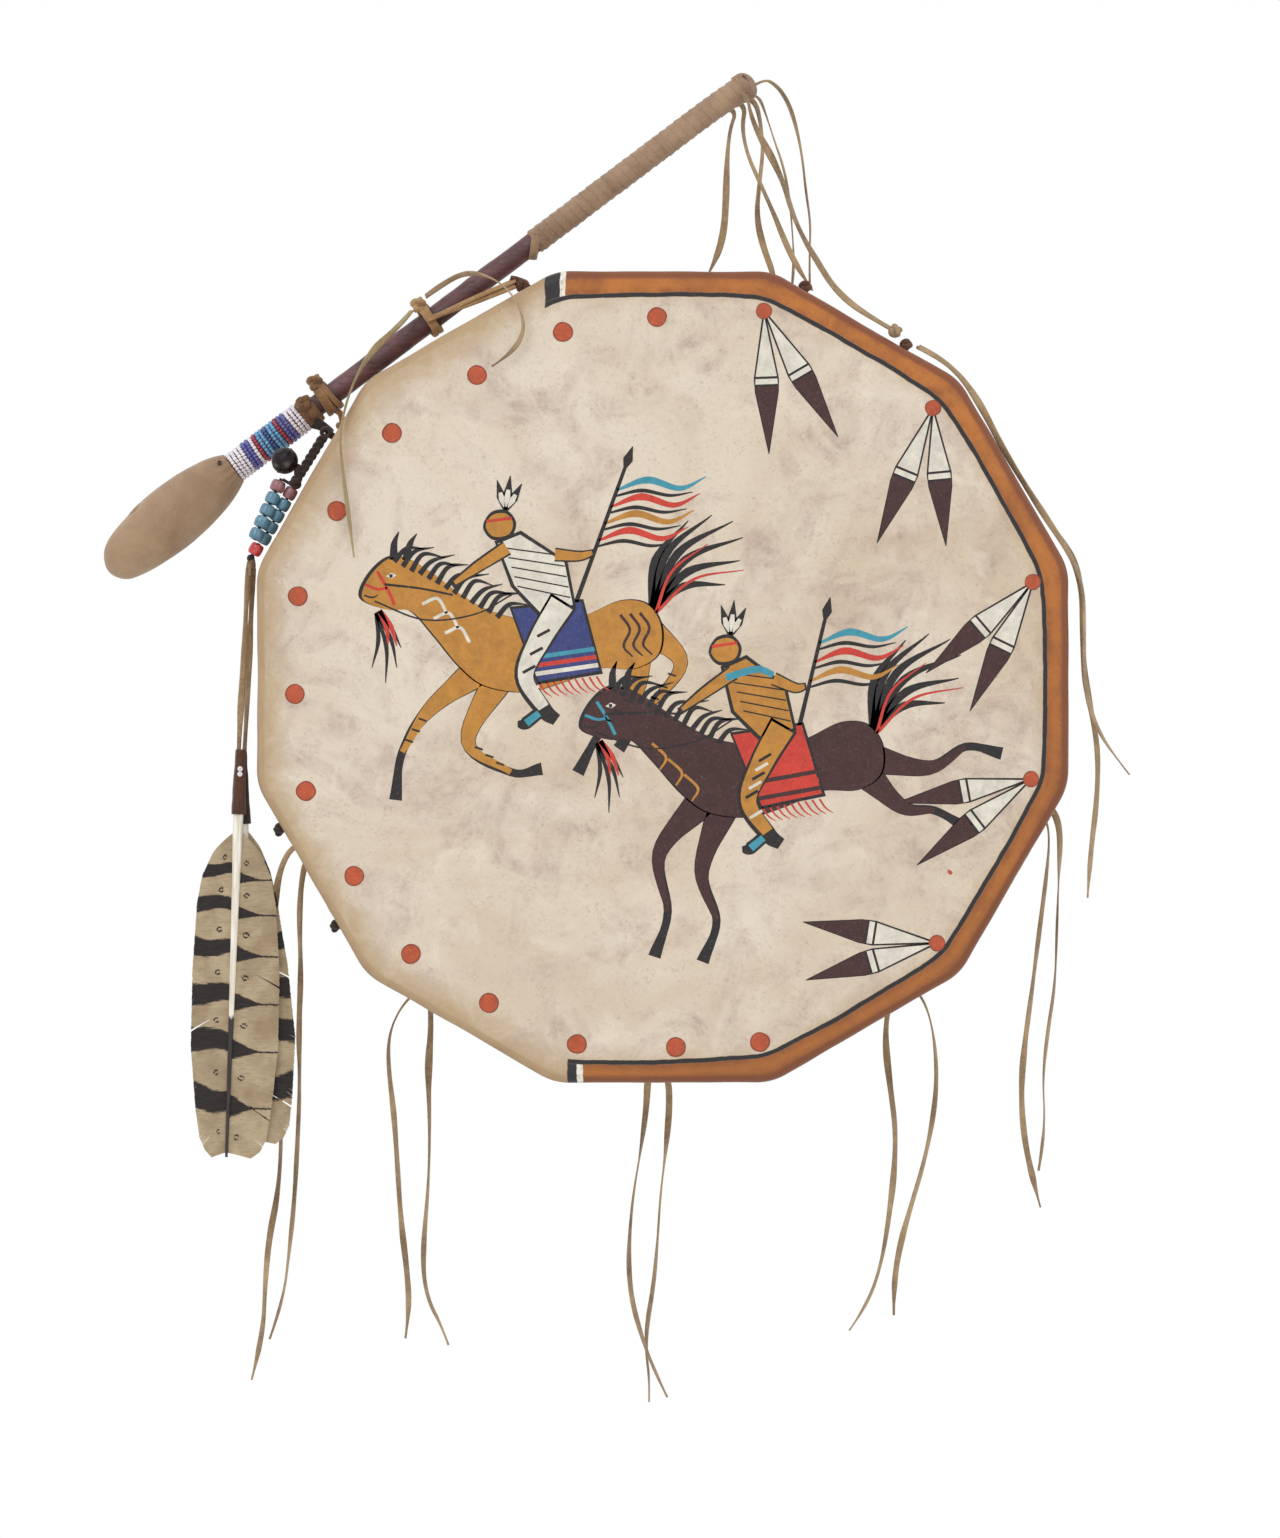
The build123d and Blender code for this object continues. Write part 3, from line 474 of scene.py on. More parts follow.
def make_drumhead():
    columns = 720
    rim_mean_r = 206.0
    vertices, band, edge, inside = [], [], [], []
    rows = hide_profile()
    for inset, y, part in rows:
        for turn in np.arange(columns) * 0.5:
            radius, depth = outline_radius(turn, APOTHEM - inset), y
            at = polar(radius, turn, y)
            if part == 1:
                pull = (y - FACE_Y) / 60 * 0.9 * lump((turn * 1.6, y * 0.05, 0), 5, 3)
                radius += pull + 0.45 * lump(at, 14, 1) + 0.16 * lump(at, 4)
            elif part in (2, 3):
                to_hole = abs((turn + 15) % 15 - 7.5)
                share = min(1.0, inset / HEM_WIDTH)
                radius -= share**3 * (1.6 * cos(radians(to_hole * 24)) + 0.7 * lump(at, 9, 8))
                fold = max(0.0, 1 - (15 - abs((turn + 15) % 30 - 15)) / 2.2)
                crease = 0.55 * lump((turn * 2.2, inset * 0.1, 0), 4, 5) + 1.3 * fold
                near = hypot(radius * radians(to_hole), radius - HOLE_CIRCLE_R)
                depth += share * crease + 0.2 * lump(at, 5, 2) - 1.3 * hump(near, 3.6)
            elif part == 0 and inset < 8:
                depth += 0.35 * (1 - inset / 8) * lump(at, 16, 4)
                radius += 0.5 * (1 - inset / 8) * lump(at, 22, 6)
            vertices.append(polar(radius, turn, depth))
            lower_right = max(0.0, (abs(turn if turn <= 180 else turn - 360) - 80) / 25) * (turn > 180)
            rounder = 0.7 * outline_radius(turn, APOTHEM) + 0.3 * rim_mean_r
            width = 11.8 - 2.6 * lower_right + 0.6 * lump((turn, 0, 0), 11, 9)
            over_edge = part == 0 and depth > FACE_Y + 0.6
            band.append(10.0 if over_edge else (radius if part == 0 else APOTHEM) - (rounder - width))
            edge.append(inset if part == 0 and y < FACE_Y + 0.1 else FACE_Y - y)
            inside.append(float(part == 4))
    to_mesh("drumhead_hide", vertices, capped(len(rows), columns), "hide", "drum", "rawhide", ["drumhead"],
            values={"band": band, "edge": edge, "inside": inside})


make_drumhead()

# --- frame, lacing and grip ---

def recolour(node, look):
    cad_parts[node].data.materials[0] = LOOKS[look]


for stave in range(12):
    stave_look = f"cedar_{stave + 1:02d}"
    LOOKS[stave_look] = timber(stave_look, rgb(176, 122, 78), rgb(122, 74, 44), 90 - SIDE_DEG * stave, 0.6)
    recolour(f"frame_stave_{stave + 1:02d}", stave_look)


def make_lacing():
    """Laces from the hem to the grip, bowed a little and twisting as dry rawhide does."""
    pile = Pile()
    shares = np.linspace(0, 1, 26)
    for i in range(12):
        corner = SIDE_DEG * (i + 0.5)
        for side in (-1, 1):
            hole = polar(HOLE_CIRCLE_R, corner + side * HOLE_FROM_CORNER_DEG)
            inner = polar(GRIP_RING_R + 6.0, corner) + polar(side * 1.85, corner + 90)
            path = np.array([hole + (inner - hole) * t for t in shares])
            path[:, 1] += 0.4 * random.uniform(-1, 1) * np.sin(shares * pi)
            twist = 0.5 * pi + random.uniform(-0.5, 0.5) + random.uniform(-1.6, 1.6) * shares
            pile.add(*strip(path, 2.1 + 0.25 * np.sin(shares * 17 + i), 0.85, twist))
    pile.build("rawhide_lacing", "lace", "drum", "rawhide_lace", "lacing")


def make_lace_turns():
    """The stitch behind each stave, from hole to hole, and the wound turns on the grip ring."""
    pile = Pile()
    stitch = [(0, 1.6), (0, -2.6), (0.2, -5.2), (0.5, -5.4), (0.8, -5.2), (1, -2.6), (1, 1.6)]
    for i in range(12):
        first, last = (polar(HOLE_CIRCLE_R, SIDE_DEG * i + side * HOLE_FROM_CORNER_DEG) for side in (-1, 1))
        pile.strap([first * (1 - t) + last * t + (0, y, 0) for t, y in stitch], 6, 1.9, 0.9, 0.3, 10)
        corner = SIDE_DEG * (i + 0.5)
        along = polar(1, corner + 90)
        for turn in (-1, 0, 1):
            path = []
            for t in angles(40):
                radius = 6.55 + 0.25 * sin(3 * t + turn)
                path.append(polar(GRIP_RING_R + radius * cos(t), corner, radius * sin(t))
                            + along * (turn * 2.3 + 0.5 * sin(t + turn)))
            pile.ring(path, 1.35, 0.7, first=along)
    pile.build("lace_turns_wound", "lace", "drum", "rawhide_lace", "lace_turns")


def make_grip():
    """Buckskin wound round the ring, each turn lapping over the last."""
    laps, around, across = 46, 920, 26
    vertices = []
    for i in range(around):
        turn = 360 * i / around
        for phi in angles(across):
            lap = (i / around * laps + phi / TURN) % 1.0
            radius = 4.55 + 0.55 * lap + 0.25 * round_lump(turn * 0.6, 4, phi, 3)
            vertices.append(polar(GRIP_RING_R + radius * cos(phi), turn, radius * sin(phi)))
    to_mesh("grip_winding", vertices, grid(around, across, True), "grip", "drum", "buckskin", ["grip_wrap"])


make_lacing()
make_lace_turns()
make_grip()
recolour("grip_ring", "steel")

# --- thongs ---

STICK_ANGLE = radians(36.95)
STICK_DIR = np.array((cos(STICK_ANGLE), 0, sin(STICK_ANGLE)))
STICK_OUT = np.array((-STICK_DIR[2], 0, STICK_DIR[0]))
FRONT = np.array((0, -1.0, 0))
STICK_OFFSET, STICK_Y = 218.1, -6.0
HEAD_TIP, BEADS_START, BEADS_END, NECK_END, WRAP_START, BUTT = -194.9, -111.7, -67.6, -58.6, 81.3, 218.9


def on_stick(along, out=0.0, forward=0.0):
    return STICK_DIR * along + STICK_OUT * (STICK_OFFSET + out) + np.array((0, STICK_Y - forward, 0))


def beside_stick(start, *places):
    """Points beside the stick, with their distances along it counted from start."""
    return [on_stick(start + along, out, forward) for along, out, forward in places]


# Each thong's route in mm, with the body that it rides on, its real length, its width and how it
# ends: (body, length, width, end, points).
THONGS = {
    "fringe_1_left": ("fringe_1", 289.1, 2.8, "bare", [
        (-181.6, 3.6, -83.6), (-190.5, 4.6, -86.5), (-197, 5.8, -97), (-200.5, 7, -114), (-201.6, 8, -140),
        (-200.6, 8.2, -170), (-198.5, 8.3, -205), (-197, 8.2, -237), (-198.7, 8, -266), (-203.6, 8.1, -290),
        (-205.6, 8.2, -314), (-206.6, 8.1, -340), (-212.5, 8, -363)]),
    "fringe_1_right": ("fringe_1", 259.6, 2.8, "bare", [
        (-179, 3.6, -85.8), (-183.8, 4.4, -93.4), (-186.6, 5.6, -105), (-187.9, 7.4, -125),
        (-187, 8.2, -152), (-188.2, 8.3, -182), (-187.6, 8.2, -212), (-188.9, 8.2, -242),
        (-190.4, 8.1, -270), (-193.2, 8.2, -298), (-196.2, 8.1, -322), (-203.2, 8, -342)]),
    "fringe_2_left": ("fringe_2", 189.1, 2.8, "bare", [
        (-123.6, 3.6, -158.2), (-129.4, 3.7, -163.8), (-136.4, 3.8, -172.2), (-141.3, 3.9, -184.4),
        (-141.8, 3.9, -200), (-138.6, 3.8, -226), (-136.8, 3.7, -254), (-135.2, 3.8, -280),
        (-131.8, 3.8, -308), (-130.8, 3.7, -326), (-132.8, 3.8, -341)]),
    "fringe_2_right": ("fringe_2", 188, 2.8, "bare", [
        (-120.9, 3.6, -159.1), (-120, 3.7, -167.8), (-119.6, 3.8, -181), (-121.2, 3.9, -203),
        (-120.2, 3.8, -232), (-120.9, 3.7, -262), (-123.4, 3.8, -290), (-123.6, 3.8, -309),
        (-120.4, 3.7, -323), (-114.4, 3.8, -334), (-110.6, 3.8, -344.5)]),
    "fringe_3_left": ("fringe_3", 178.2, 2.8, "bare", [
        (-5, 3.6, -198.5), (-8, 4.6, -206.5), (-8.4, 6.4, -221), (-11.4, 7.8, -244), (-15.4, 8.1, -267),
        (-17.3, 8, -288), (-17.8, 8.1, -305), (-16, 8, -323), (-10.6, 8.1, -342), (-4.6, 8, -358),
        (2.2, 8, -372)]),
    "fringe_3_right": ("fringe_3", 178.4, 2.8, "bare", [
        (-1, 3.6, -198.5), (2.6, 4.8, -206.2), (3.5, 7.2, -220), (1.6, 9.8, -244), (-1.4, 11.2, -268),
        (-2.8, 11.6, -292), (-4.9, 11.6, -315), (-8.4, 11.5, -335), (-8.7, 11.6, -350), (-7, 11.5, -363),
        (-7.2, 11.5, -375)]),
    "fringe_4_left": ("fringe_4", 186, 2.8, "bare", [
        (122.2, 3.6, -157.1), (118, 3.7, -164.6), (115.1, 3.8, -176), (114.8, 3.9, -191),
        (117.2, 3.8, -212), (119.9, 3.7, -232), (119.4, 3.8, -254), (116.6, 3.8, -278), (112.6, 3.7, -303),
        (105.2, 3.8, -324), (96, 3.8, -337)]),
    "fringe_4_right": ("fringe_4", 178.4, 2.8, "bare", [
        (126.5, 3.6, -156.7), (132.4, 3.7, -163.2), (137.4, 3.8, -174), (140.4, 3.9, -190),
        (141.2, 3.9, -210), (138.9, 3.8, -230), (134.4, 3.7, -251), (128.4, 3.8, -271), (122.6, 3.8, -291),
        (118.9, 3.7, -312), (119, 3.8, -329)]),
    "fringe_5_left": ("fringe_5", 211.9, 2.8, "bare", [
        (191, 3.6, -67.2), (197.4, 4.4, -72), (199.6, 5.6, -83), (198, 7.2, -103), (194.2, 8.2, -133),
        (190.6, 8.1, -162), (187, 8.2, -188), (184.9, 8.1, -212), (186.2, 8, -236), (190.4, 8.1, -257),
        (195, 8, -274)]),
    "fringe_5_right": ("fringe_5", 197.9, 2.8, "bare", [
        (191.8, 3.6, -64.8), (199, 4.6, -66.4), (203.6, 5.8, -73), (205.2, 6.8, -84), (204.4, 7.8, -103),
        (203.4, 8.2, -132), (202.6, 8.1, -159), (198.6, 8.2, -184), (196.2, 8.1, -207), (197.2, 8, -227),
        (196, 8.1, -243), (194, 8, -255)]),
    "shoulder_thong_front": ("drum", 248.5, 2.8, "bare", [
        (128.2, -58, 165.6), (139.4, -58.2, 160), (150.6, -58.4, 149.4), (159.6, -58.3, 136),
        (169.7, -58, 116.1), (181.2, -57.6, 97.2), (194, -57.3, 77.1), (205.2, -57.6, 60.3), (211, -58, 44),
        (211.4, -58.4, 24), (211, -58.6, 3), (213.6, -58.5, -15), (219.4, -58, -29), (227, -57.8, -40),
        (234, -57.6, -49)]),
    "shoulder_thong_back": ("drum", 306.8, 2.8, "bare", [
        (127.4, -53.6, 166), (138.6, -53.8, 160.6), (151, -53.9, 151.4), (159, -53.6, 137),
        (169.3, -53.4, 117.1), (180.6, -53.2, 98), (193.4, -53.4, 77.9), (205.8, -53.6, 61.8),
        (210.4, -53.8, 44.8), (211, -54, 24), (211.4, -54, 3), (215.2, -53.8, -17), (218.8, -53.4, -37),
        (218.2, -53.2, -62), (214.9, -53.4, -88), (213.4, -53.6, -111)]),
    "tie_tail_lower": ("drum", 158.1, 2.6, "bare", [
        (-128.6, -13.6, 187.4), (-134.4, -25, 178.6), (-147.4, -44, 164.6), (-155.6, -61, 147),
        (-160.2, -69.6, 129), (-161.2, -69.8, 115.6), (-159.2, -69.4, 98.4), (-156.6, -69, 78.4),
        (-154.2, -68.8, 59.6)]),
    "tie_tail_upper": ("drum", 119.9, 2.6, "bare", [
        (-121.4, -13.4, 194.8), (-109.6, -24, 202.2), (-97.8, -38, 205.2), (-86, -52, 201),
        (-76.4, -66.6, 192.8), (-70.4, -70.4, 182.2), (-69.2, -70.8, 171.4), (-76, -70.2, 161),
        (-85.4, -69.4, 155)]),
    "butt_thong_1": ("beater", 91.2, 2.8, "bare", [
        (37.9, -3, 290.9), (34.6, 0.4, 282.8), (33, 3.4, 268), (32.6, 4.6, 249), (31.6, 5, 230),
        (27.4, 5, 215), (21, 5, 203.5)]),
    "butt_thong_2": ("beater", 103.6, 2.8, "bare", [
        (42.6, -3, 293.9), (40.6, 0.6, 283.4), (43.4, 3.6, 269.4), (50.2, 4.9, 254.6), (57.2, 5.1, 239),
        (63.4, 5, 223.4), (70, 5.1, 210), (77.2, 5, 199.4)]),
    "butt_thong_3": ("beater", 104.8, 2.8, "bare", [
        (47.4, -2.6, 296.6), (50.2, 2, 286.4), (51.8, 6.4, 272.6), (49.8, 8.4, 255), (48.2, 8.7, 238),
        (51.8, 8.6, 222), (57.4, 8.7, 207.5), (59.6, 8.6, 195.5)]),
    "butt_thong_4": ("beater", 107.8, 2.8, "bare", [
        (48.6, 0.6, 300.8), (53, 6, 290.8), (57.4, 10.6, 278), (62.6, 12.3, 263.5), (65.6, 12.6, 247),
        (67, 12.5, 230), (68, 12.6, 213), (66.4, 12.5, 198)]),
    "butt_thong_5": ("beater", 116.3, 2.8, "bare", [
        (51.2, -5, 307.8), (58.6, -1.6, 304.4), (64.8, 2.2, 295.8), (69, 5, 283), (72, 7, 268),
        (73.8, 8.4, 251), (76.4, 8.8, 234), (75.6, 8.7, 217), (75.9, 8.8, 201)]),
    "butt_thong_6": ("beater", 157, 2.8, "knot", [
        (43.2, -14.6, 297.6), (44.6, -17.8, 287.6), (49, -22.6, 276), (56, -28.4, 262.8),
        (61.6, -34.4, 249), (65.2, -40.4, 235), (70.4, -46.4, 222), (77.4, -52, 209.4), (84.6, -56, 197),
        (93.6, -58.2, 187.6), (105, -58.6, 180), (116.4, -58.4, 173.4)]),
    "hanger_thong_left": ("hanger", 90.3, 2.6, "object", [
        (-208.4, -51.7, 54.6), (-209.6, -51.9, 38.4), (-210.3, -52, 18.6), (-211.5, -52, -1.5),
        (-212.6, -52, -19), (-213.4, -51.9, -37.8)]),
    "hanger_thong_right": ("hanger", 90.5, 2.6, "object", [
        (-206.4, -48.3, 54.8), (-207.2, -48.1, 38.4), (-208.2, -48, 18.6), (-208.9, -48, -1.5),
        (-209.9, -48, -20), (-210.9, -48.1, -37.8)]),
}


def spline_points(points):
    """Points along the smooth NURBS line that the route controls, in metres."""
    curve = bpy.data.curves.new("route", "CURVE")
    curve.dimensions = "3D"
    spline = curve.splines.new("NURBS")
    spline.points.add(len(points) - 1)
    for control, place in zip(spline.points, points):
        control.co = (*place, 1.0)
    spline.order_u = 3
    spline.use_endpoint_u = True
    curve.resolution_u = 10
    holder = bpy.data.objects.new("route", curve)
    mesh = bpy.data.meshes.new_from_object(holder)
    line = np.array([tuple(v.co) for v in mesh.vertices])
    bpy.data.objects.remove(holder)
    bpy.data.curves.remove(curve)
    bpy.data.meshes.remove(mesh)
    return line


def root_in_wrap(spot):
    """A place inside the butt's wrapping, next to where a thong comes out of it, in metres."""
    out, forward = spot @ STICK_OUT - STICK_OFFSET, STICK_Y - spot[1]
    inward = 4.6 / max(4.6, hypot(out, forward))
    return tuple(on_stick(min(spot @ STICK_DIR, BUTT - 3) - 3, out * inward, forward * inward) * MM)


def make_thong(name, body, real_length, width, end, route):
    """One flat thong along its route. Returns the strip and whatever is fixed to it."""
    points = [tuple(round(v * MM, 4) for v in spot) for spot in route]
    line = spline_points([root_in_wrap(np.array(route[0])), *points] if body == "beater" else points)
    along = np.concatenate(([0.0], np.cumsum(np.linalg.norm(np.diff(line, axis=0), axis=1)))) / MM
    phase = random.uniform(0, 6)
    twist = 0.5 + 0.9 * np.sin(along / 47 + phase) + 0.5 * np.sin(along / 19 + 2 * phase)
    half = width / 2 * (1.22 + 0.12 * np.sin(along / 13 + phase) + 0.1 * np.sin(along / 5.1))
    if end == "bare":
        half = half * np.clip((along[-1] - along) / 16, 0.3, 1.0)
    look = "tail" if name == "tie_tail_lower" else "thong"
    shape = strip(line / MM, half, 0.5 + 0.12 * np.sin(along / 9 + phase), twist)
    obj = to_mesh(name + "_strip", *shape, look, body, "buckskin_thong", [name])
    on_it = []
    if end == "knot":
        tip, before = line[-1] / MM, line[-4] / MM
        shape = knot(tip, tip - before, 3.6, 1.3)
        on_it.append(to_mesh(name + "_knot", *shape, look, body, "buckskin_thong"))
    return [obj, *on_it]


for thong, facts in THONGS.items():
    pieces = make_thong(thong, *facts)
    if thong.startswith("butt_thong"):
        # These can't follow the drawn beater through the ties, so they lie flat behind the hem.
        for piece in pieces:
            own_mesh(piece)

# The two hanger thongs are one strap, folded over the loop under the red bead.
bight = Pile()
bight.strap([(-208.5, -51.8, 51.0), (-208.2, -51.7, 56.4), (-206.9, -50.0, 59.6), (-206.3, -48.4, 56.6),
             (-206.5, -48.2, 51.2)], 8, 1.5, 0.6, 0.4, 10)
bight.build("hanger_bight", "thong", "hanger", "buckskin_thong")

# --- beater ---

def stick_skin(stations, around, radius_at):
    """A skin round the stick: radius_at(along, angle) gives its radius and how far it droops."""
    vertices = []
    for along in stations:
        for angle in angles(around):
            radius, droop = radius_at(along, angle)
            vertices.append(on_stick(along, radius * cos(angle) + droop, radius * sin(angle)))
    return vertices, capped(len(stations), around)


def make_beater_head():
    """A stuffed suede egg with soft dents, sewn along one side, gathered at the neck."""
    seam_at = 4.3
    length = BEADS_START - HEAD_TIP
    profile = [(0.06, -9.4), (0.0, 0.0), (0.06, 9.4), (0.2, 13.8), (0.42, 16.2), (0.64, 15.9), (0.82, 13.7),
               (0.93, 11.2), (1.0, 8.4)]
    line = smooth_line(profile, 26)[26:]
    radii = {HEAD_TIP + share * length: (share, abs(radius)) for share, radius in line}

    def radius_at(along, angle):
        share, radius = radii[along]
        off_seam = abs(angle - seam_at)
        at = share * 60
        swell = 0.6 * round_lump(at, 14, angle, 16, 2) + 0.14 * round_lump(at, 14, angle, 5, 5)
        gather = max(0.0, share - 0.84) / 0.16
        swell += 0.3 * gather * sin(angle * 15 + 2 * round_lump(at, 14, angle, 9))
        stitch = 0.35 * (0.5 + 0.5 * cos(share * 60 * 2.1)) * hump(off_seam, 0.16)
        sewn = 0.5 * hump(off_seam - 0.13, 0.07) - 0.6 * hump(off_seam, 0.055) - stitch
        swell += sewn * min(1.0, share * 6)
        return max(0.02, radius + swell * min(1.0, radius / 5)), -3.4 * (1 - share) ** 1.6
    pile = Pile()
    pile.add(*stick_skin(list(radii), 120, radius_at))
    pile.strap(beside_stick(-115.8, (0, 5.2, 8.2), (0.4, 5.7, 9.6), (0.8, 6.0, 10.4)), 4, 1.0, 0.9, 0, 10, 1)
    pile.build("beater_head_suede", ["suede", "dark"], "beater", "suede", "beater_cover")


def make_seed_beads():
    """Nineteen rows of seed beads sewn round the neck."""
    rows, colours = "WWWWVVWRBBSBBRVVWWW", "WVRBS"
    per_row, bead_rings, bead_sides, middle_r = 25, 7, 10, 7.45
    pitch = (BEADS_END - BEADS_START) / len(rows)
    faces = grid(bead_rings, bead_sides)
    pile = Pile()
    for row, colour in enumerate(rows):
        lean = random.uniform(0, 1)
        for k in range(per_row):
            angle = TURN * (k + lean) / per_row
            tilt = 0.35 * sin(angle + row * 0.3)
            middle = BEADS_START + pitch * (row + 0.5) + tilt + random.uniform(-0.1, 0.1)
            out = middle_r + random.uniform(-0.1, 0.1)
            long_half, round_half = 0.93 + random.uniform(-0.08, 0.05), 1.12 + random.uniform(-0.06, 0.04)
            vertices = []
            for i in range(bead_rings):
                lat = pi * i / (bead_rings - 1)
                ring = max(0.3, sin(lat) ** 0.6) * round_half
                around = angle + long_half * cos(lat) / middle_r
                for lon in angles(bead_sides):
                    radius = out + ring * sin(lon) * 0.82
                    vertices.append(on_stick(middle + ring * cos(lon), radius * cos(around),
                                             radius * sin(around)))
            pile.add(vertices, faces, colours.index(colour))
    pile.build("seed_beadwork", ["bead_" + c for c in colours], "beater", "seed_glass", "seed_beads")


def make_stick():
    """The bare stick: a peeled branch, not quite round, with small knots."""
    def radius_at(along, angle):
        at = along * 0.35
        uneven = 0.35 * round_lump(at, 5, angle, 7, 3) + 0.12 * round_lump(at, 5, angle, 2, 1)
        knots = (0.7 * hump(along - 46, 4) * hump(angle - 1.9, 0.6)
                 + 0.6 * hump(along + 22, 4) * hump(angle - 0.9, 0.6))
        return 5.55 + uneven + knots, 0.0
    skin = stick_skin(np.linspace(HEAD_TIP + 18, BUTT - 0.3, 260), 48, radius_at)
    to_mesh("stained_branch", *skin, "stick", "beater", "dark_wood", ["beater_stick"])


def make_spiral_wrap():
    """Hide wound in a spiral up the handle, each turn lapping the one below, closed over the butt."""
    def radius_at(along, angle):
        turn = ((along - WRAP_START) / 4.7 - angle / TURN) % 1.0
        fuller = 0.4 * min(1.0, max(0.0, (along - BUTT + 18) / 10))
        closing = max(0.0, (along - BUTT + 2.2) / 2.2)
        start = min(1.0, (along - WRAP_START) / 0.8)
        lap = 0.5 * (1 - turn) - 0.38 * hump(turn, 0.07) + 0.2 * round_lump(along, 6, angle, 6)
        sag = -1.8 * max(0.0, (along - BUTT + 30) / 30) ** 2
        return (5.9 + 0.3 * start + fuller + lap) * (1 - 0.32 * closing**2), sag
    pile = Pile()
    pile.add(*stick_skin(np.linspace(WRAP_START, BUTT, 420), 56, radius_at))
    tail = beside_stick(WRAP_START, (3.2, 2, 6.6), (-0.8, -2, 6.9), (-4.3, -5.4, 5.2), (-5.9, -6.6, 2.0))
    pile.strap(tail, 8, 2.2, 0.5, 0.2)
    cap = beside_stick(BUTT, (-7, 3.8, 3.6), (-2, 3.0, 4.0), (0.2, -0.6, 2.2), (-1.6, -5.6, 2.8),
                       (-6, -7.2, 2.6))
    pile.strap(cap, 8, 2.6, 0.5, 0.1)
    pile.build("spiral_wrapping", "spiral", "beater", "suede", "stick_wrap")


def make_neck():
    """The beaded sleeve's backing, and a folded cuff of leather over its upper end."""
    def sleeve_at(along, angle):
        return 6.75 + 0.1 * round_lump(along, 6, angle, 3), 0.0
    skin = stick_skin(np.linspace(BEADS_START - 0.5, BEADS_END + 0.3, 40), 40, sleeve_at)
    to_mesh("bead_backing", *skin, "neck", "beater", "suede", ["bead_sleeve"])

    def cuff_at(along, angle):
        share = (along - BEADS_END) / (NECK_END - BEADS_END)
        fold = 0.6 * sin(share * 3 * pi + 0.8 * sin(angle)) + 0.4 * round_lump(along, 7, angle, 4)
        flare = 0.9 * sin(pi * min(1, max(0, share))) + 0.4 * sin(4 * angle + share)
        return 6.9 + fold * 0.6 + flare, 0.0
    pile = Pile()
    pile.add(*stick_skin(np.linspace(BEADS_END + 0.1, NECK_END, 34), 64, cuff_at))
    flap = beside_stick(BEADS_END, (3, -6.4, 5.2), (5, -9.8, 5.6), (6.5, -13.4, 4.6), (7.5, -16.2, 4.0))
    pile.strap(flap, 8, [3.4 - 0.07 * i for i in range(25)], 0.6, 0.3, 8, 1)
    pile.add(*knot(on_stick(BEADS_END + 5, 4.2, 7.6), FRONT, 4.2, 1.5))
    pile.build("neck_cuff", ["neck", "dark"], "beater", "buckskin", "beater_neck_tie")


def beside_side(side_deg, along, out, y):
    """A point beside one flat of the drum: along it anticlockwise as seen from the front."""
    return polar(APOTHEM + out, side_deg, y) + polar(along, side_deg + 90)


def tied(loops, knot_along, knot_radius, knot_tube):
    """Turns of strap round the beater, wandering a little, and their knot."""
    pile = Pile()
    for along, wander, phase in loops:
        path = [on_stick(along + wander * sin(t + phase), 8.0 * cos(t), 8.0 * sin(t))
                for t in angles(56)]
        pile.ring(path, 1.5, 0.6, around=10, first=STICK_DIR)
    pile.add(*knot(on_stick(knot_along, 9.4, 3.5), STICK_DIR, knot_radius, knot_tube))
    return pile


def make_ties():
    """The two ties that hold the beater: turns of strap, a knot and the strands to the drum."""
    upper = tied([(13.0, 1.1, 0.4), (16.2, 0.9, 2.2)], 14.6, 4.4, 1.4)
    tab = beside_side(120, -35.4, 8.6, -17.4)
    for along, lift in ((13.2, 1.5), (16.0, -1.5)):
        start = on_stick(along, 0, 8.9)
        middle = (start + tab) / 2 + (0, -0.5, lift * 0.8)
        upper.strap([start, middle, tab + (0, -0.8, lift)], 10, 1.5, 0.6, 0.6, 10)
    upper.build("upper_tie_straps", "tan", "drum", "buckskin", "beater_tie_upper")

    lower = tied([(-54.5, 0.7, 1.0), (-51.7, 0.8, 2.6), (-48.9, 0.7, 4.0)], -51.7, 4.6, 1.5)
    anchor = beside_side(150, -29.4, 3.3, -6.0)
    lower.strap([on_stick(-51.7, -8.0, 1.0), on_stick(-51.2, -11.0, 0.4), anchor], 8, 1.9, 0.9, 0.8, 10)
    lower.add(*knot(anchor, STICK_OUT, 3.6, 1.3))
    lower.build("lower_tie_straps", "neck", "drum", "buckskin", "beater_tie_lower")


make_beater_head()
recolour("beater_core", "grip")
make_seed_beads()
make_stick()
make_spiral_wrap()
make_neck()
make_ties()

# --- knots on the drum ---

FRINGE_KNOTS = [(-178.0, -82.0), (-121.0, -155.0), (-3.0, -195.0), (124.0, -153.6), (188.0, -64.6)]
# (side in degrees, distance along it, y, radius)
RIM_KNOTS = [(60, -22.4, -55.6, 3.2), (60, 36, -52, 3.4), (210, -30, -56, 3.3), (210, 26, -56, 3.1)]
PENDANT_PIVOT = np.array((-169.6, -50.0, 123.2))


def make_fringe_knots():
    pile = Pile()
    for x, z in FRINGE_KNOTS:
        pile.add(*knot((x, 2.4, z), (0, 1, 0), 4.0, 1.35, 0.9))
        for lean in (-1, 1):
            tuck = [(x + lean * 0.8, -1.6, z), (x + lean * 1.6, 1.2, z + 1.6), (x + lean * 2.2, 3.6, z - 1.4)]
            pile.strap(tuck, 6, 1.3, 0.5, 0.3)
    pile.build("fringe_thong_knots", "thong", "drum", "buckskin", "fringe_knots")


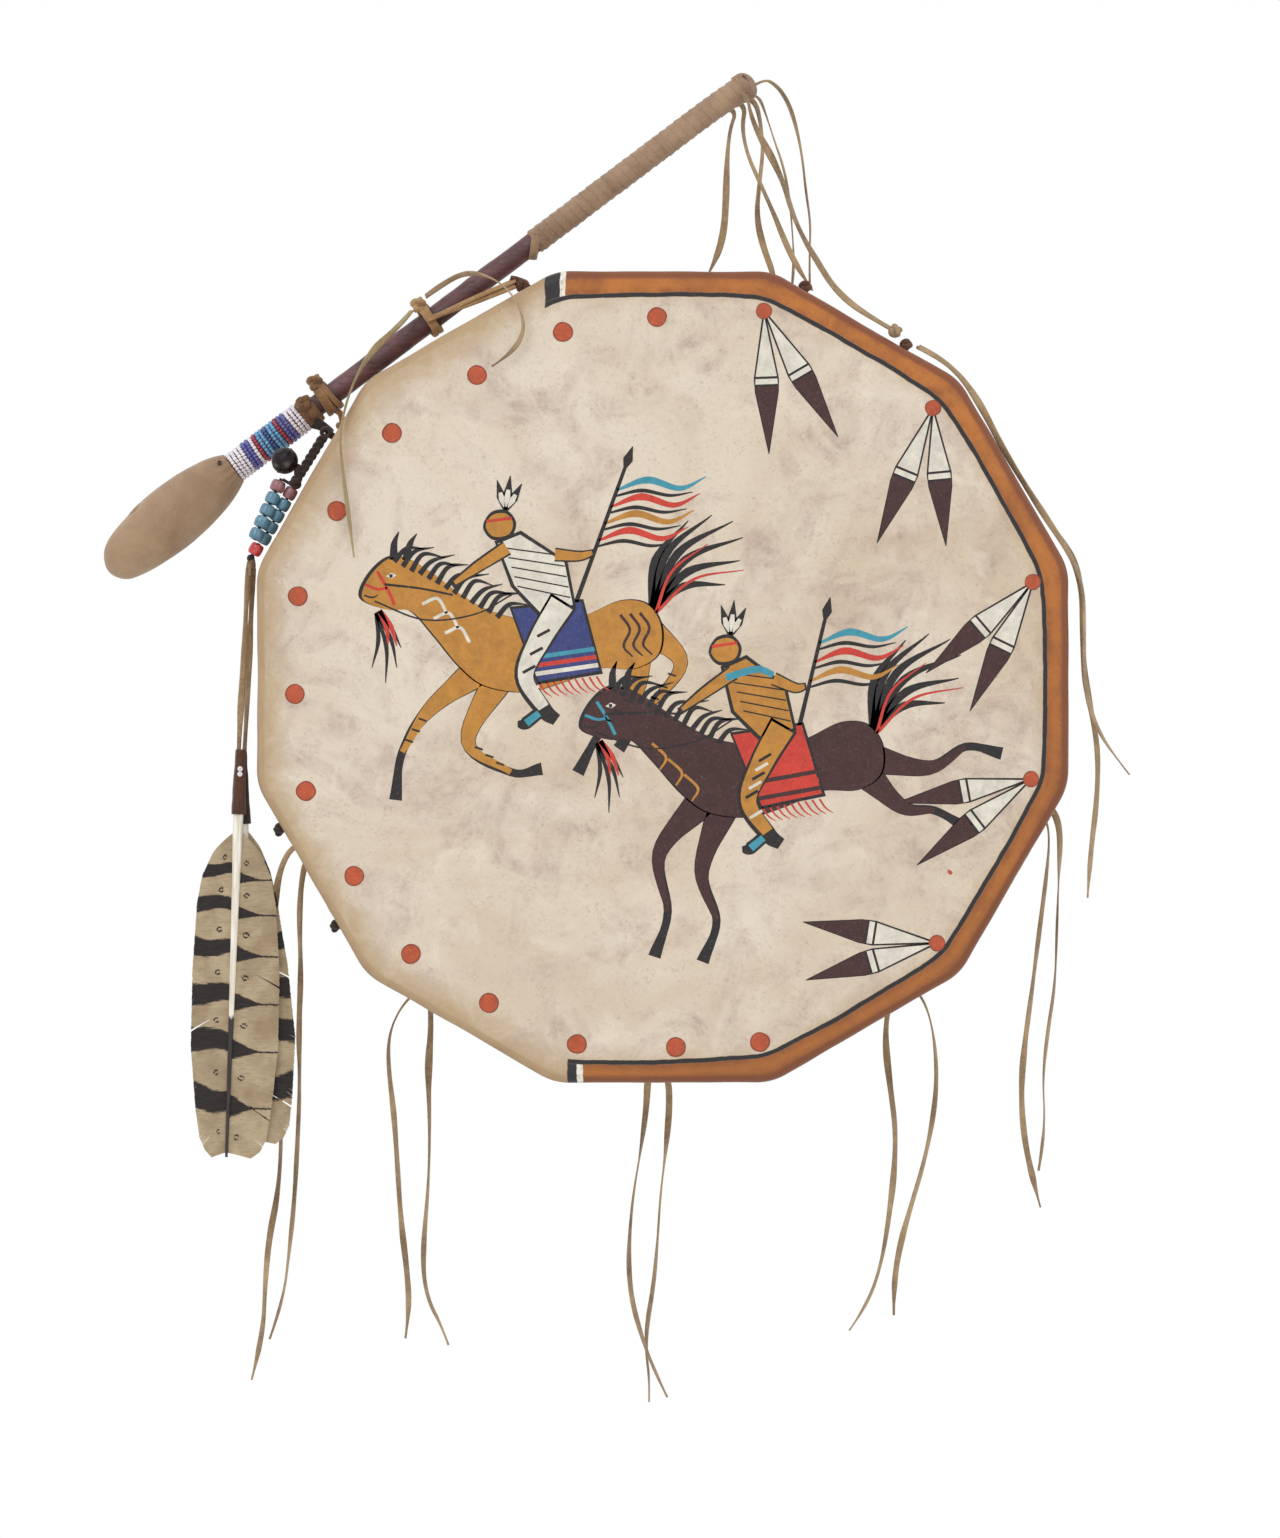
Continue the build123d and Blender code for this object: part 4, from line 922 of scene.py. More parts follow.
def make_rim_knots():
    """Knots on the drum's side, the tab that holds the upper tie and the pendant's toggle."""
    pile = Pile()
    for side, along, y, radius in RIM_KNOTS:
        brown = side == 60
        size = radius if brown else radius - 0.7
        centre = beside_side(side, along, size * 0.75, y)
        pile.add(*knot(centre, polar(1, side), radius, size * 0.38), int(brown))
    tab = [beside_side(120, *place) for place in ((-38.6, 0.2, -15), (-38.2, 4.4, -15.4), (-36.4, 8.8, -16.4),
                                                  (-33.6, 11.6, -17.2))]
    pile.strap(tab, 8, [3.9 - 0.05 * i for i in range(25)], 1.1, 0.5, 12, 1)
    pile.add(*knot(beside_side(120, -37.4, 6.6, -15.5), polar(1, 120), 4.0, 1.2), 1)
    foot = beside_side(150, float(PENDANT_PIVOT @ polar(1, 240)), 0, -50.0)
    pile.add(*strip([foot + (PENDANT_PIVOT - foot) * t for t in np.linspace(0, 1, 6)], 1.8, 1.2))
    for shift in (-2.6, 0.0, 2.6):
        pile.ring([PENDANT_PIVOT + np.array((2.1 * cos(t), shift + 0.8 * sin(t + shift), 2.1 * sin(t)))
                   for t in angles(28)], 1.35, 0.8)
    pile.build("rim_thong_knots", ["dark", "brown"], "drum", "dark_leather", "rim_knots")


make_fringe_knots()
make_rim_knots()

# --- pendant ---

SLOPE_OUT, SLOPE_DOWN = polar(1, 150), polar(1, 240)


def beside_slope(down, out, y):
    return SLOPE_DOWN * down + SLOPE_OUT * out + np.array((0, y, 0))


STRAND_TOP, STRAND_BOTTOM = 9.6, 43.0
STRANDS = [(beside_slope(STRAND_TOP, 208.9, -49.0), beside_slope(STRAND_BOTTOM, 208.9, -49.0)),
           (beside_slope(STRAND_TOP, 216.3, -51.0), beside_slope(STRAND_BOTTOM, 212.2, -56.2))]
BELL_CENTRE = beside_slope(0.9, 219.4, -50.0)


def make_braid():
    """Three dark strands plaited from the toggle down to the beads, and the thong into the bell."""
    pile = Pile()
    start, end = PENDANT_PIVOT + SLOPE_DOWN * 2.6, beside_slope(7.4, 209.4, -50.0)
    for strand in range(3):
        path = []
        for t in np.linspace(0, 1, 44):
            phase = TURN * (t * 2.6 + strand / 3)
            path.append(start + (end - start) * t + SLOPE_OUT * 1.45 * sin(phase)
                        + FRONT * 0.8 * sin(2 * phase))
        pile.add(*strip(path, 1.15, 0.8, 0.3, 8))
    pile.add(*knot(end + SLOPE_DOWN * 0.5, SLOPE_DOWN, 3.4, 1.2))
    pile.strap([beside_slope(4.2, 210.6, -50.0), beside_slope(2.4, 211.6, -51.0),
                BELL_CENTRE - SLOPE_OUT * 7.6, BELL_CENTRE - SLOPE_OUT * 6.8], 8, 1.3, 0.8, 0.5)
    pile.build("pendant_plait", "dark", "pendant", "dark_leather", "pendant_braid")


def make_bell():
    """A round bell of two pressed halves: a rolled seam, a slot with round ends, and a wire loop."""
    rows, columns, vertices = 40, 64, []
    side = np.array((0, 1.0, 0))
    for i in range(rows + 1):
        lat = pi * i / rows
        for lon in angles(columns):
            seam = 0.42 * hump(lat - pi / 2, 0.07)
            mouth = hump(sin(lon) * sin(lat) * 7, 0.9) * (lat < 0.95)
            radius = 6.75 + seam + 0.05 * lump((lat * 9, lon * 5, 0), 2) - 1.4 * mouth
            across = SLOPE_DOWN * cos(lon) + side * sin(lon)
            vertices.append(BELL_CENTRE + radius * (SLOPE_OUT * cos(lat) + across * sin(lat)))
    pile = Pile()
    pile.add(vertices, grid(rows + 1, columns))
    pile.ring([BELL_CENTRE - SLOPE_OUT * (7.6 + 1.7 * cos(t)) + SLOPE_DOWN * 1.7 * sin(t)
               for t in angles(28)], 0.5, 0.5, 0, square=1.0)
    pile.build("round_bell", "bell", "pendant", "dark_metal", "pendant_bell")


def crow_bead(centre, axis):
    """A rolled glass bead with rounded shoulders, a hole through it and a slightly uneven wall."""
    length, outer, widest = 6.1 + random.uniform(-0.3, 0.1), 3.6 + random.uniform(-0.12, 0.1), 3.66
    profile = [(-0.36, 1.1), (-0.46, 1.6), (-0.5, 2.2), (-0.46, 2.95), (-0.36, 3.4), (-0.18, 3.6),
               (0, widest)]
    profile += [(-a, r) for a, r in reversed(profile[:-1])]
    line = smooth_line(profile, 4, True)
    first = unit(np.cross(axis, (0.2, 0.9, 0.3)))
    second = np.cross(axis, first)
    vertices = []
    for share, radius in line:
        for angle in angles(36):
            reach = radius / widest * outer * (1 + 0.03 * sin(2 * angle + length * 9))
            vertices.append(centre + axis * share * length
                            + first * reach * cos(angle) + second * reach * sin(angle))
    return vertices, grid(len(line), 36, True)


def make_pendant_beads():
    mauve, blue, red = Pile(), Pile(), Pile()
    for start, end in STRANDS:
        for row, down in enumerate((13.8, 20.4, 26.9, 33.4, 39.9)):
            share = (down - STRAND_TOP) / (STRAND_BOTTOM - STRAND_TOP)
            (blue if row else mauve).add(*crow_bead(start + (end - start) * share, unit(end - start)))
    red.add(*crow_bead(beside_slope(46.8, 209.6, -50.0), SLOPE_DOWN))
    mauve.build("mauve_crow_beads", "mauve", "pendant", "mauve_glass", "mauve_beads")
    blue.build("blue_crow_beads", "blue", "pendant", "blue_glass", "blue_beads")
    red.build("red_crow_bead", "red", "pendant", "red_glass", "red_bead")
    recolour("bead_strands", "dark")
    recolour("bell_pellet", "bell")


make_braid()
make_bell()
make_pendant_beads()

# --- feathers ---

FEATHER_TOP = np.array((-212.4, -50.0, -36.5))
# Both feathers, front and back: turn in degrees, how far forward, size and the sleeve's length.
FEATHERS = ((0.0, 2.2, 1.0, 32.5), (3.5, -2.4, 0.97, 37.5))
# (distance down, width to the left, width to the right)
VANE = [(44, 2, 2), (48, 9, 9), (53, 12.5, 12.5), (64, 17.2, 17.5), (78, 19.4, 20.4), (112, 20.5, 23.4),
        (150, 20, 24), (182, 16.5, 21.5), (196, 14, 19.6), (202, 11, 16.6), (205.5, 7.5, 12)]
BARS = [(61.3, 3.2), (79.0, 3.8), (99.7, 4.6), (123.8, 5.4), (147.8, 5.8), (176.2, 6.6)]
SPOTS = (54.6, 71.0, 90.8, 112.5, 136.5, 162.8, 192.6)
SHAFT = [(8, 1.7), (30, 2.7), (45, 2.5), (62, 2.1), (100, 1.65), (134, 1.3), (205, 0.7)]


def feather_frame(turn_deg, forward):
    tilt = radians(2.0 - turn_deg)
    across, down = (cos(tilt), 0, -sin(tilt)), (-sin(tilt), 0, -cos(tilt))
    return FEATHER_TOP - (0, forward, 0), np.array(across), np.array(down)


def barred(side, share, down):
    """How dark a feather is at a point: broad bars to the left, tapering ones to the right, spots between."""
    dark = 0.0
    for middle, half in BARS:
        if side < 0:
            sway = middle + 1.6 * sin(share * 3.4 + middle) - 1.2 * share
            reach = half * (0.78 + 0.3 * share)
        else:
            sway = middle + 3.0 + 3.0 * share - 2.0 * share**2
            reach = 0.45 + 0.85 * half * max(0.0, 1 - share / 0.6) ** 1.2
        dark = max(dark, 1.6 - abs(down - sway) / reach * 1.1)
    across, lower = (0.35, 0.0) if side < 0 else (0.25, 2.5)
    for middle in SPOTS:
        away = hypot((share - across) * 20, down - middle - lower)
        dark = max(dark, 0.95 - abs(away - 1.1) * 1.1)
    return min(1.0, max(0.0, dark))


def feather_look():
    look = Look("barred_feather", roughness=0.7, sheen=0.08)
    fibre = look.noise(1.0, 4, 0.6, 0.0, look.coordinates((260, 200, 1500)))
    light = look.wash(rgb(186, 167, 136), rgb(160, 139, 108), look.noise(70, 4), 0.38, 0.64)
    light = look.wash(light, rgb(124, 104, 80), fibre, 0.5, 0.72, 0.0, 0.5)
    dark = look.wash(rgb(27, 20, 18), rgb(50, 38, 32), fibre, 0.45, 0.7)
    edge = look.plus(look.attribute("dark"), look.ramp(fibre, 0.3, 0.7, -0.16, 0.16))
    return look.finish(look.wash(light, dark, edge, 0.42, 0.58), fibre, 0.15)


def quill_look():
    """Horn-white above, black below, as the shaft of a barred tail feather is."""
    look = Look("quill_horn", roughness=0.4, coat=0.2)
    grain = look.noise(1.0, 4, 0.6, 0.0, look.coordinates((900, 900, 60)))
    white = look.wash(rgb(240, 236, 226), rgb(212, 202, 180), grain, 0.42, 0.66)
    black = look.wash(rgb(28, 22, 22), rgb(58, 46, 40), grain, 0.42, 0.66)
    height = look.plus(look.axis("Z"), look.ramp(grain, 0.3, 0.7, -0.002, 0.002))
    return look.finish(look.wash(black, white, height, -0.1722, -0.1702), grain, 0.1)


LOOKS["feather"] = feather_look()
LOOKS["quill"] = quill_look()


def make_vanes():
    """Each vane is combed from separate barbs that slope down from the quill and curl at the tip."""
    barbs, steps, quill_half = 340, 22, 0.6
    downs, lefts, rights = zip(*VANE)
    vertices, faces, dark = [], [], []
    for turn, forward, scale, _ in FEATHERS:
        origin, across, down_axis = feather_frame(turn, forward)
        for side, widths, splits in ((-1, lefts, (142,)), (1, rights, (119, 186))):
            for barb in range(barbs):
                root = 41.5 + barb * 0.475
                sweep = min(9.0 + 3.0 * barb / barbs, (206.0 - root) * 0.62 + 0.6)
                tip = root + sweep + random.uniform(-0.08, 0.08)
                for place in splits:
                    gap = tip - place
                    if 0 < gap < 5:
                        tip += 0.6 * (1 - gap / 5)
                    elif -5 < gap <= 0:
                        tip -= 0.5 * (1 + gap / 5)
                width = float(np.interp(tip, downs, widths)) * random.uniform(0.992, 1.005)
                if turn and side > 0:
                    width *= float(np.interp(tip, (44, 150), (0.7, 1.0)))
                start = len(vertices)
                for k in range(steps + 1):
                    share = k / steps
                    down = root + (tip - root) * share**1.25
                    half = 0.42 * (1 - 0.25 * share**3)
                    curl = 1.1 * share**2 - 0.5 * sin(share * 3.1)
                    lift = curl + barb % 2 * 0.05 + 0.35 * lump((side * width * share, down, turn), 14)
                    out = side * (quill_half + (width - quill_half) * share)
                    for edge in (-1, 1):
                        spot = origin + (across * out + down_axis * (down + edge * half)) * scale
                        vertices.append(spot + (0, lift + 0.06 * edge, 0))
                        dark.append(barred(-1 if turn else side, share, down))
                faces += [(a, a + 1, a + 3, a + 2) for a in range(start, start + 2 * steps, 2)]
    to_mesh("feather_barbs", vertices, faces, "feather", "feathers", "feather", ["feather_vanes"],
            values={"dark": dark})


def make_quills():
    """Flat-sided shafts, stout at the sleeve and fine at the tip."""
    downs, halves = zip(*SHAFT)
    stations = np.linspace(downs[0], downs[-1], 90)
    width = np.interp(stations, downs, halves)
    pile = Pile()
    for turn, forward, scale, _ in FEATHERS:
        origin, _, down_axis = feather_frame(turn, forward)
        path = [origin + down_axis * d * scale + FRONT * 0.35 for d in stations]
        pile.add(*strip(path, width, width * 0.85, around=14, square=0.8))
    pile.build("feather_shafts", "quill", "feathers", "quill", "quills")


def make_sleeves():
    """Leather wrapped round each quill's top, with two small white beads."""
    around, rows = 36, 60
    pile = Pile()
    for index, (turn, forward, _, length) in enumerate(FEATHERS):
        origin, across, down_axis = feather_frame(turn, forward)
        vertices = []
        for share in np.arange(rows) / (rows - 1):
            for angle in angles(around):
                uneven = 0.25 * round_lump(share * 30, 3, angle, 5) + 0.45 * hump(angle - 2.2, 0.25)
                radius = 2.6 + 1.1 * share + uneven
                vertices.append(origin + down_axis * share * length + across * radius * cos(angle)
                                + FRONT * radius * sin(angle))
        pile.add(vertices, capped(rows, around, turned=False), index)
    origin, across, down_axis = feather_frame(0.0, 2.2)
    for down in (9.6, 12.2):
        centre = origin + down_axis * down + across * 0.4 + FRONT * 3.1
        pile.ring([centre + (across * cos(t) + down_axis * sin(t)) * 0.75 for t in angles(16)],
                  0.62, 0.62, 0, square=1.0, look=2)
    pile.build("wrapped_sleeves", ["brown", "dark", "bead_W"], "feathers", "brown_leather", "leather_sleeves")


make_vanes()
make_quills()
make_sleeves()

# --- painting on the face ---

PAINTS = {
    "vermilion": paint("paint_vermilion", rgb(188, 82, 46), 0.2),
    "brick": paint("paint_brick", rgb(146, 66, 44), 0.2),
    "ink": paint("paint_black", rgb(30, 26, 27), 0.12),
    "umber": paint("paint_umber", rgb(66, 34, 34), 0.12),
    "ochre": paint("paint_ochre", rgb(192, 132, 50), 0.2),
    "chalk": paint("paint_white", rgb(226, 220, 206), 0.35),
    "scarlet": paint("paint_scarlet", rgb(206, 58, 44), 0.15),
    "turquoise": paint("paint_turquoise", rgb(60, 150, 172), 0.15),
    "indigo": paint("paint_indigo", rgb(52, 62, 122), 0.15),
}
LOOKS.update(PAINTS)
painted = {name: Pile() for name in PAINTS}


def lay(colour, flat, faces, level):
    """Faces between (x, z) points, on one of the thin layers of paint."""
    painted[colour].add([(x, FACE_Y - 0.05 - 0.014 * level, z) for x, z in flat], faces)


def patch(colour, outline, level=0):
    """A painted area inside an outline."""
    outline = [(float(x), float(z)) for x, z in outline]
    turned = []
    for a, b, c in tessellate_polygon([[Vector((x, z, 0)) for x, z in outline]]):
        (ax, az), (bx, bz), (cx, cz) = outline[a], outline[b], outline[c]
        flip = (bx - ax) * (cz - az) - (bz - az) * (cx - ax) < 0
        turned.append((a, c, b) if flip else (a, b, c))
    lay(colour, outline, turned, level)


def stroke(colour, line, widths, level):
    """A brush stroke along a line, with its widths spread evenly along it."""
    along = np.gradient(line, axis=0)
    along /= np.linalg.norm(along, axis=1)[:, None] + 1e-9
    sides = np.column_stack((-along[:, 1], along[:, 0]))
    count = len(line)
    half = np.interp(np.linspace(0, 1, count), np.linspace(0, 1, len(widths)), widths)[:, None] / 2
    faces = [(i, count + i, count + i + 1, i + 1) for i in range(count - 1)]
    lay(colour, np.vstack((line + sides * half, line - sides * half)), faces, level)


def flat_aim(angle_deg):
    return np.array((cos(radians(angle_deg)), sin(radians(angle_deg))))


class Figure:
    """A place on the face for a figure: its mm are scaled, turned and moved."""

    def __init__(self, x, z, size, turn_deg):
        c, s = flat_aim(turn_deg)
        self.rotation, self.size, self.at = np.array(((c, s), (-s, c))), size, (x, z)

    def place(self, points):
        return np.asarray(points, float) * self.size @ self.rotation + self.at

    def patch(self, colour, level, outline, rounded=False):
        patch(colour, self.place(smooth_line(outline, 6, True) if rounded else outline), level)

    def stroke(self, colour, level, points, widths):
        stroke(colour, self.place(smooth_line(points, 7)), widths, level)

    def fan(self, colour, level, root, angles_deg, lengths, widths, bend):
        """Strokes that spread from a root, such as a tail or a tuft."""
        root = np.array(root, float)
        for angle_deg, length in zip(angles_deg, lengths):
            aim = flat_aim(angle_deg)
            middle = root + aim * length * 0.5 + np.array((-aim[1], aim[0])) * length * bend
            self.stroke(colour, level, [root, middle, root + aim * length], widths)


def dot(x, z, diameter):
    """A round spot of vermilion over a darker edge."""
    for colour, share, level in (("brick", 1.0, 3), ("vermilion", 0.86, 4)):
        ring = []
        for angle in angles(30):
            uneven = lump((x + 3 * cos(angle), z + 3 * sin(angle), level), 3)
            radius = share * diameter / 2 * (1 + 0.07 * uneven)
            ring.append((x + radius * cos(angle), z + radius * sin(angle)))
        patch(colour, ring, level)


def hanging_feather(root, tip):
    """One painted feather: white near the root, a banded middle and a dark tapering end."""
    root, tip = np.array(root, float), np.array(tip, float)
    length = float(np.linalg.norm(tip - root))
    aim = (tip - root) / length
    wide, waist = 6.3, 0.47 * length
    for colour, level, half_outline in (
            ("ink", 0, [(0, 0.5), (waist, wide), (waist + 7, wide - 0.3), (length, 0.2)]),
            ("chalk", 1, [(4, 0.2), (waist - 0.9, wide - 1.0)]),
            ("chalk", 1, [(waist + 0.3, wide - 0.8), (waist + 3.0, wide - 0.7)]),
            ("umber", 2, [(waist + 4.2, wide - 0.6), (waist + 8, wide - 0.9), (length - 3, 0.2)])):
        far = [(down, -half) for down, half in half_outline]
        outline = np.array([half_outline[0], *far, *half_outline[:0:-1]])
        patch(colour, root + outline[:, :1] * aim + outline[:, 1:] * np.array((-aim[1], aim[0])), level)


DOTS = [(-50, 172.5), (-3, 180), (-93, 151), (-135.5, 122), (-163, 83), (-182.5, 40.5), (-184, -8.5),
        (-178.5, -57), (-154.5, -99.5), (-126, -138.5), (-87, -163), (-43, -183.5), (6.5, -185),
        (48.5, -182.5)]
# Each pair hangs from a dot: (root, tip, tip).
FEATHER_PAIRS = [((50.5, 183), (53, 111.5), (87.5, 120)), ((135, 134.5), (107, 67), (141.5, 65.5)),
                 ((185, 47.5), (131.5, 2), (153.5, -17)), ((184, -51), (116.5, -63), (127, -94)),
                 ((137, -133), (70, -122.5), (71.5, -151.5))]


def paint_rim_marks():
    for x, z in DOTS:
        dot(x, z, 10.0)
    for (x, z), *tips in FEATHER_PAIRS:
        for tip in tips:
            hanging_feather((x, z), tip)
        dot(x, z, 8.2)
    drip = [(142.4, -96.2), (144.6, -97.4), (144.2, -98.8), (142.6, -98.2)]
    patch("vermilion", smooth_line(drip, 6, True), 3)


HORSE_BODY = [(-96, 36), (-91, 47), (-80, 55), (-70, 53), (-60, 46), (-46, 33), (-30, 22), (-8, 15), (14, 15),
              (34, 21), (48, 18), (54, 6), (51, -8), (38, -14), (20, -12), (2, -17), (-18, -20), (-38, -15),
              (-50, -4), (-62, 14), (-72, 27), (-84, 29)]


def horse(on, coat, trim, legs):
    """A running horse, seen from its left side."""
    for root, knee, fetlock, hoof in legs:
        on.stroke("ink", 0, [root, knee, fetlock, hoof], [17, 10, 6.2, 4.2, 4.0, 6.4])
        on.stroke(coat, 1, [root, knee, fetlock], [15.6, 8.8, 4.8, 2.8])
    on.patch("ink", 1, np.array(HORSE_BODY) * 1.018, True)
    on.patch(coat, 2, HORSE_BODY, True)
    on.fan("ink", 1, (50, 14), (62, 52, 42, 33, 24, 14), (50, 58, 62, 60, 52, 40), (3.4, 4.2, 0.5), 0.16)
    on.fan("scarlet", 2, (52, 13), (47, 20), (44, 50), (1.6, 1.4, 0.4), 0.14)
    for k in range(13):
        root = np.array((-78 + 4.1 * k, 53 - 2.9 * k + (k > 2) * 1.0))
        hairs = [root, root + (7, 6.0 + k % 3), root + (16 + k % 4, 5.0 + 3 * (k % 2))]
        on.stroke("ink", 3, hairs, [2.8, 2.2, 0.4])
    for colour, level, points, widths in (
            ("ink", 2, [(-78, 54), (-77, 62), (-74, 68)], [4.4, 3.2, 0.5]),
            ("ink", 2, [(-72, 53), (-69, 61), (-65, 66)], [4.0, 3.0, 0.5]),
            ("ink", 4, [(-95, 37.5), (-91, 36), (-88, 37)], [0.9, 0.9, 0.5]),
            (trim, 3, [(-87, 49), (-83, 40), (-80, 31)], [1.6]),
            (trim, 3, [(-94, 43), (-88, 40), (-83, 40)], [1.4]),
            ("ink", 4, [(-90, 34), (-66, 22), (-40, 22), (-20, 30)], [0.9, 0.8, 0.8, 0.8])):
        on.stroke(colour, level, points, widths)
    on.patch("chalk", 4, [(-83, 46), (-80, 47.6), (-77.5, 46), (-80, 44.6)])
    on.patch("ink", 5, [(-81.2, 46.9), (-79.4, 46.8), (-79.6, 45), (-81, 45)])
    on.fan("ink", 3, (-90, 28), (-75, -88, -100, -60), (30, 36, 28, 22), (1.6, 2.2, 0.4), 0.08)
    on.fan("scarlet", 4, (-88, 29), (-82, -70), (18, 20), (2.6, 2.6, 0.6), 0.08)


def blanket(on, ground, trims):
    on.patch("ink", 3, [(-22, 24), (16, 24), (22, -15), (-12, -17)])
    on.patch(ground, 4, [(-20.6, 22.6), (14.8, 22.6), (20.2, -13.4), (-11, -15.4)])
    for k, trim in enumerate(trims):
        low, left, right = -12.6 + 4.2 * k, -12.0 - 0.2 * k, 20.2 - 0.5 * k
        band = [(left, low), (right, low + 1.2), (right - 0.3, low + 3.4), (left - 0.4, low + 2.2)]
        on.patch(trim, 5, band)
    for x in -11 + 3.7 * np.arange(9):
        on.stroke("scarlet", 3, [(x, -16), (x + 2.6, -21), (x + 6.0, -24)], [1.0, 0.8, 0.3])


def rider(on, skin, shirt, legging, lean, hand):
    """A plain pictograph rider: no face, a striped shirt, a banded legging and a headband. The
    shoulders, the head and the near arm lean; the far arm ends at hand."""
    def leaning(*points):
        return [(x + lean, z) for x, z in points]
    on.patch("ink", 5, [*leaning((-20, 58), (-6, 62)), (10, 44), (12, 20), (-8, 18), (-20, 34)])
    on.patch(shirt, 6, [*leaning((-18.4, 56.6), (-6.6, 60)), (8.4, 43.4), (10.4, 21.6), (-6.8, 19.8),
                        (-18.2, 34.6)])
    for k in range(5):
        on.stroke("ink", 7, [(-16 + lean * 0.8 + k, 54 - 5 * k), (8 + 0.4 * k, 47 - 5.4 * k)], [0.7])
    on.stroke("ink", 6, [(6, 24), (-8, 6), (-18, -12), (-10, -30), (-4, -36)], [15, 13, 10, 8.4, 6])
    on.stroke(legging, 7, [(5, 23), (-8, 6), (-17.4, -12), (-10, -29)], [12.4, 10.6, 7.6, 6.0])
    for k in range(6):
        low = np.array((-6.0 - 2.3 * k, 9.0 - 4.4 * k) if k < 5 else (-14.5, -19.0))
        on.stroke("chalk" if k % 2 else "ink", 8, [low + (-3.4, -1.6), low + (3.4, 1.2)], [1.5])
    head = leaning((-25, 66), (-20, 73), (-12, 73), (-8, 66), (-12, 59), (-21, 59))
    face = leaning((-23.6, 66), (-19.6, 71.4), (-12.6, 71.4), (-9.6, 66), (-12.8, 60.6), (-20.4, 60.6))
    for colour, level, points, widths in (
            ("ink", 7, [(-12, -31), (-20, -36), (-24, -36)], [6, 6.4, 3.0]),
            ("turquoise", 8, [(-12.5, -31.6), (-19.6, -36)], [3.4, 3.8]),
            ("ink", 7, leaning((-14, 54), (-30, 46), (-44, 38)), [8, 6.4, 3.6]),
            (skin, 8, leaning((-14, 54), (-29.6, 46), (-42.4, 39)), [6, 4.6, 2.0]),
            ("ink", 7, [(4, 48), *hand], [7.0, 5.6, 3.4]),
            ("ochre", 8, [(4, 48), hand[0], (hand[1][0] - 1, hand[1][1])], [5.4, 4.0, 2.2]),
            ("scarlet", 9, leaning((-23, 68.6), (-10, 68.8)), [1.5])):
        on.stroke(colour, level, points, widths)
    on.patch("ink", 7, head, True)
    on.patch(skin, 8, face, True)
    for angle_deg, length in ((98, 17), (76, 19), (54, 17)):
        aim, root = flat_aim(angle_deg), np.array((lean - 13, 72))
        on.stroke("ink", 6, [root, root + aim * length * 0.5, root + aim * length], [1.0, 4.6, 0.4])
        quill = [root + aim * reach for reach in (3, length * 0.4, length * 0.62)]
        on.stroke("chalk", 7, quill, [0.6, 3.0, 1.8])


def lance(on, foot, tip, colours):
    """A pole held upright, with streamers that blow back from it and a small leaf point."""
    foot, tip = np.array(foot, float), np.array(tip, float)
    aim = unit(tip - foot)
    on.stroke("ink", 3, [foot, (foot + tip) / 2, tip], [2.4, 2.0, 1.8])
    on.stroke("ink", 3, [tip, tip + aim * 5, tip + aim * 12], [1.4, 5.0, 0.4])
    for row, colour in enumerate(colours):
        start = foot + (tip - foot) * (0.55 + 0.42 * row / len(colours))
        for k, length in enumerate((46, 40)):
            low = start - aim * 3.4 * k
            path = [(0, 0), (length * 0.35, 3.5 - 2 * k), (length * 0.7, -2.5), (length, 2.0 - 4 * k)]
            on.stroke("ink" if k else colour, 3 - k, low + path, [1.0, 3.6 - 1.6 * k, 2.6 - k, 0.4])


def paint_riders():
    """Two running horses with plain riders, a generic pictograph of this file's own."""
    upper = Figure(-53, 14, 0.98, 6)
    legs = [((-40, -6), (-68, -24), (-84, -44), (-90, -68)), ((-30, -10), (-50, -42), (-30, -60), (-14, -60)),
            ((42, 2), (38, -26), (18, -44), (4, -64)), ((46, 6), (62, -14), (42, -36), (26, -54))]
    horse(upper, "ochre", "scarlet", legs)
    for _, knee, fetlock, _ in np.array(legs, float):
        for share in (0.25, 0.5, 0.75):
            spot = knee + (fetlock - knee) * share
            upper.stroke("ink", 3, [spot + (-2.0, 1.2), spot + (2.0, -0.6)], [1.0])
    for k in range(3):
        x, z = 5 * k, -8 * k
        upper.stroke("chalk", 3, [(x - 66, z + 30), (x - 58, z + 32), (x - 54, z + 24)], [1.6])
        zigzag = [(x + 34, 14), (x + 38, 6), (x + 34, -2), (x + 38, -8)]
        upper.stroke("umber", 3, zigzag, [1.6, 1.4, 1.4, 0.8])
    blanket(upper, "indigo", ("chalk", "scarlet", "turquoise"))
    lance(upper, (6, 10), (44, 88), ("scarlet", "ochre", "scarlet", "turquoise"))
    rider(upper, "ochre", "chalk", "chalk", -6, [(16, 46), (24, 47)])
    upper.stroke("ink", 9, [(-84, 42), (-66, 38), (-50, 33)], [1.2, 1.0, 1.0])

    lower = Figure(58, -48, 0.98, 8)
    legs = [((-40, -8), (-66, -32), (-66, -62), (-76, -84)), ((-30, -12), (-46, -44), (-42, -70), (-52, -90)),
            ((44, 2), (76, -8), (96, 0), (114, -6)), ((42, -4), (60, -26), (76, -30), (92, -42))]
    horse(lower, "umber", "turquoise", legs)
    for k in range(3):
        x, z = 7 * k, -9 * k
        lower.stroke("ochre", 3, [(x - 62, z + 24), (x - 56, z + 16), (x - 60, z + 10)], [1.4, 1.4, 0.8])
    blanket(lower, "scarlet", ("umber", "scarlet", "umber"))
    lance(lower, (8, 8), (34, 74), ("ochre", "scarlet", "turquoise"))
    rider(lower, "ochre", "ochre", "ochre", -2, [(14, 42), (20, 42)])
    lower.stroke("turquoise", 9, [(-20, 52), (-4, 54), (4, 50)], [3.6, 3.6, 3.0])
    lower.stroke("ink", 9, [(-84, 42), (-64, 40), (-46, 37)], [1.2, 1.0, 1.0])


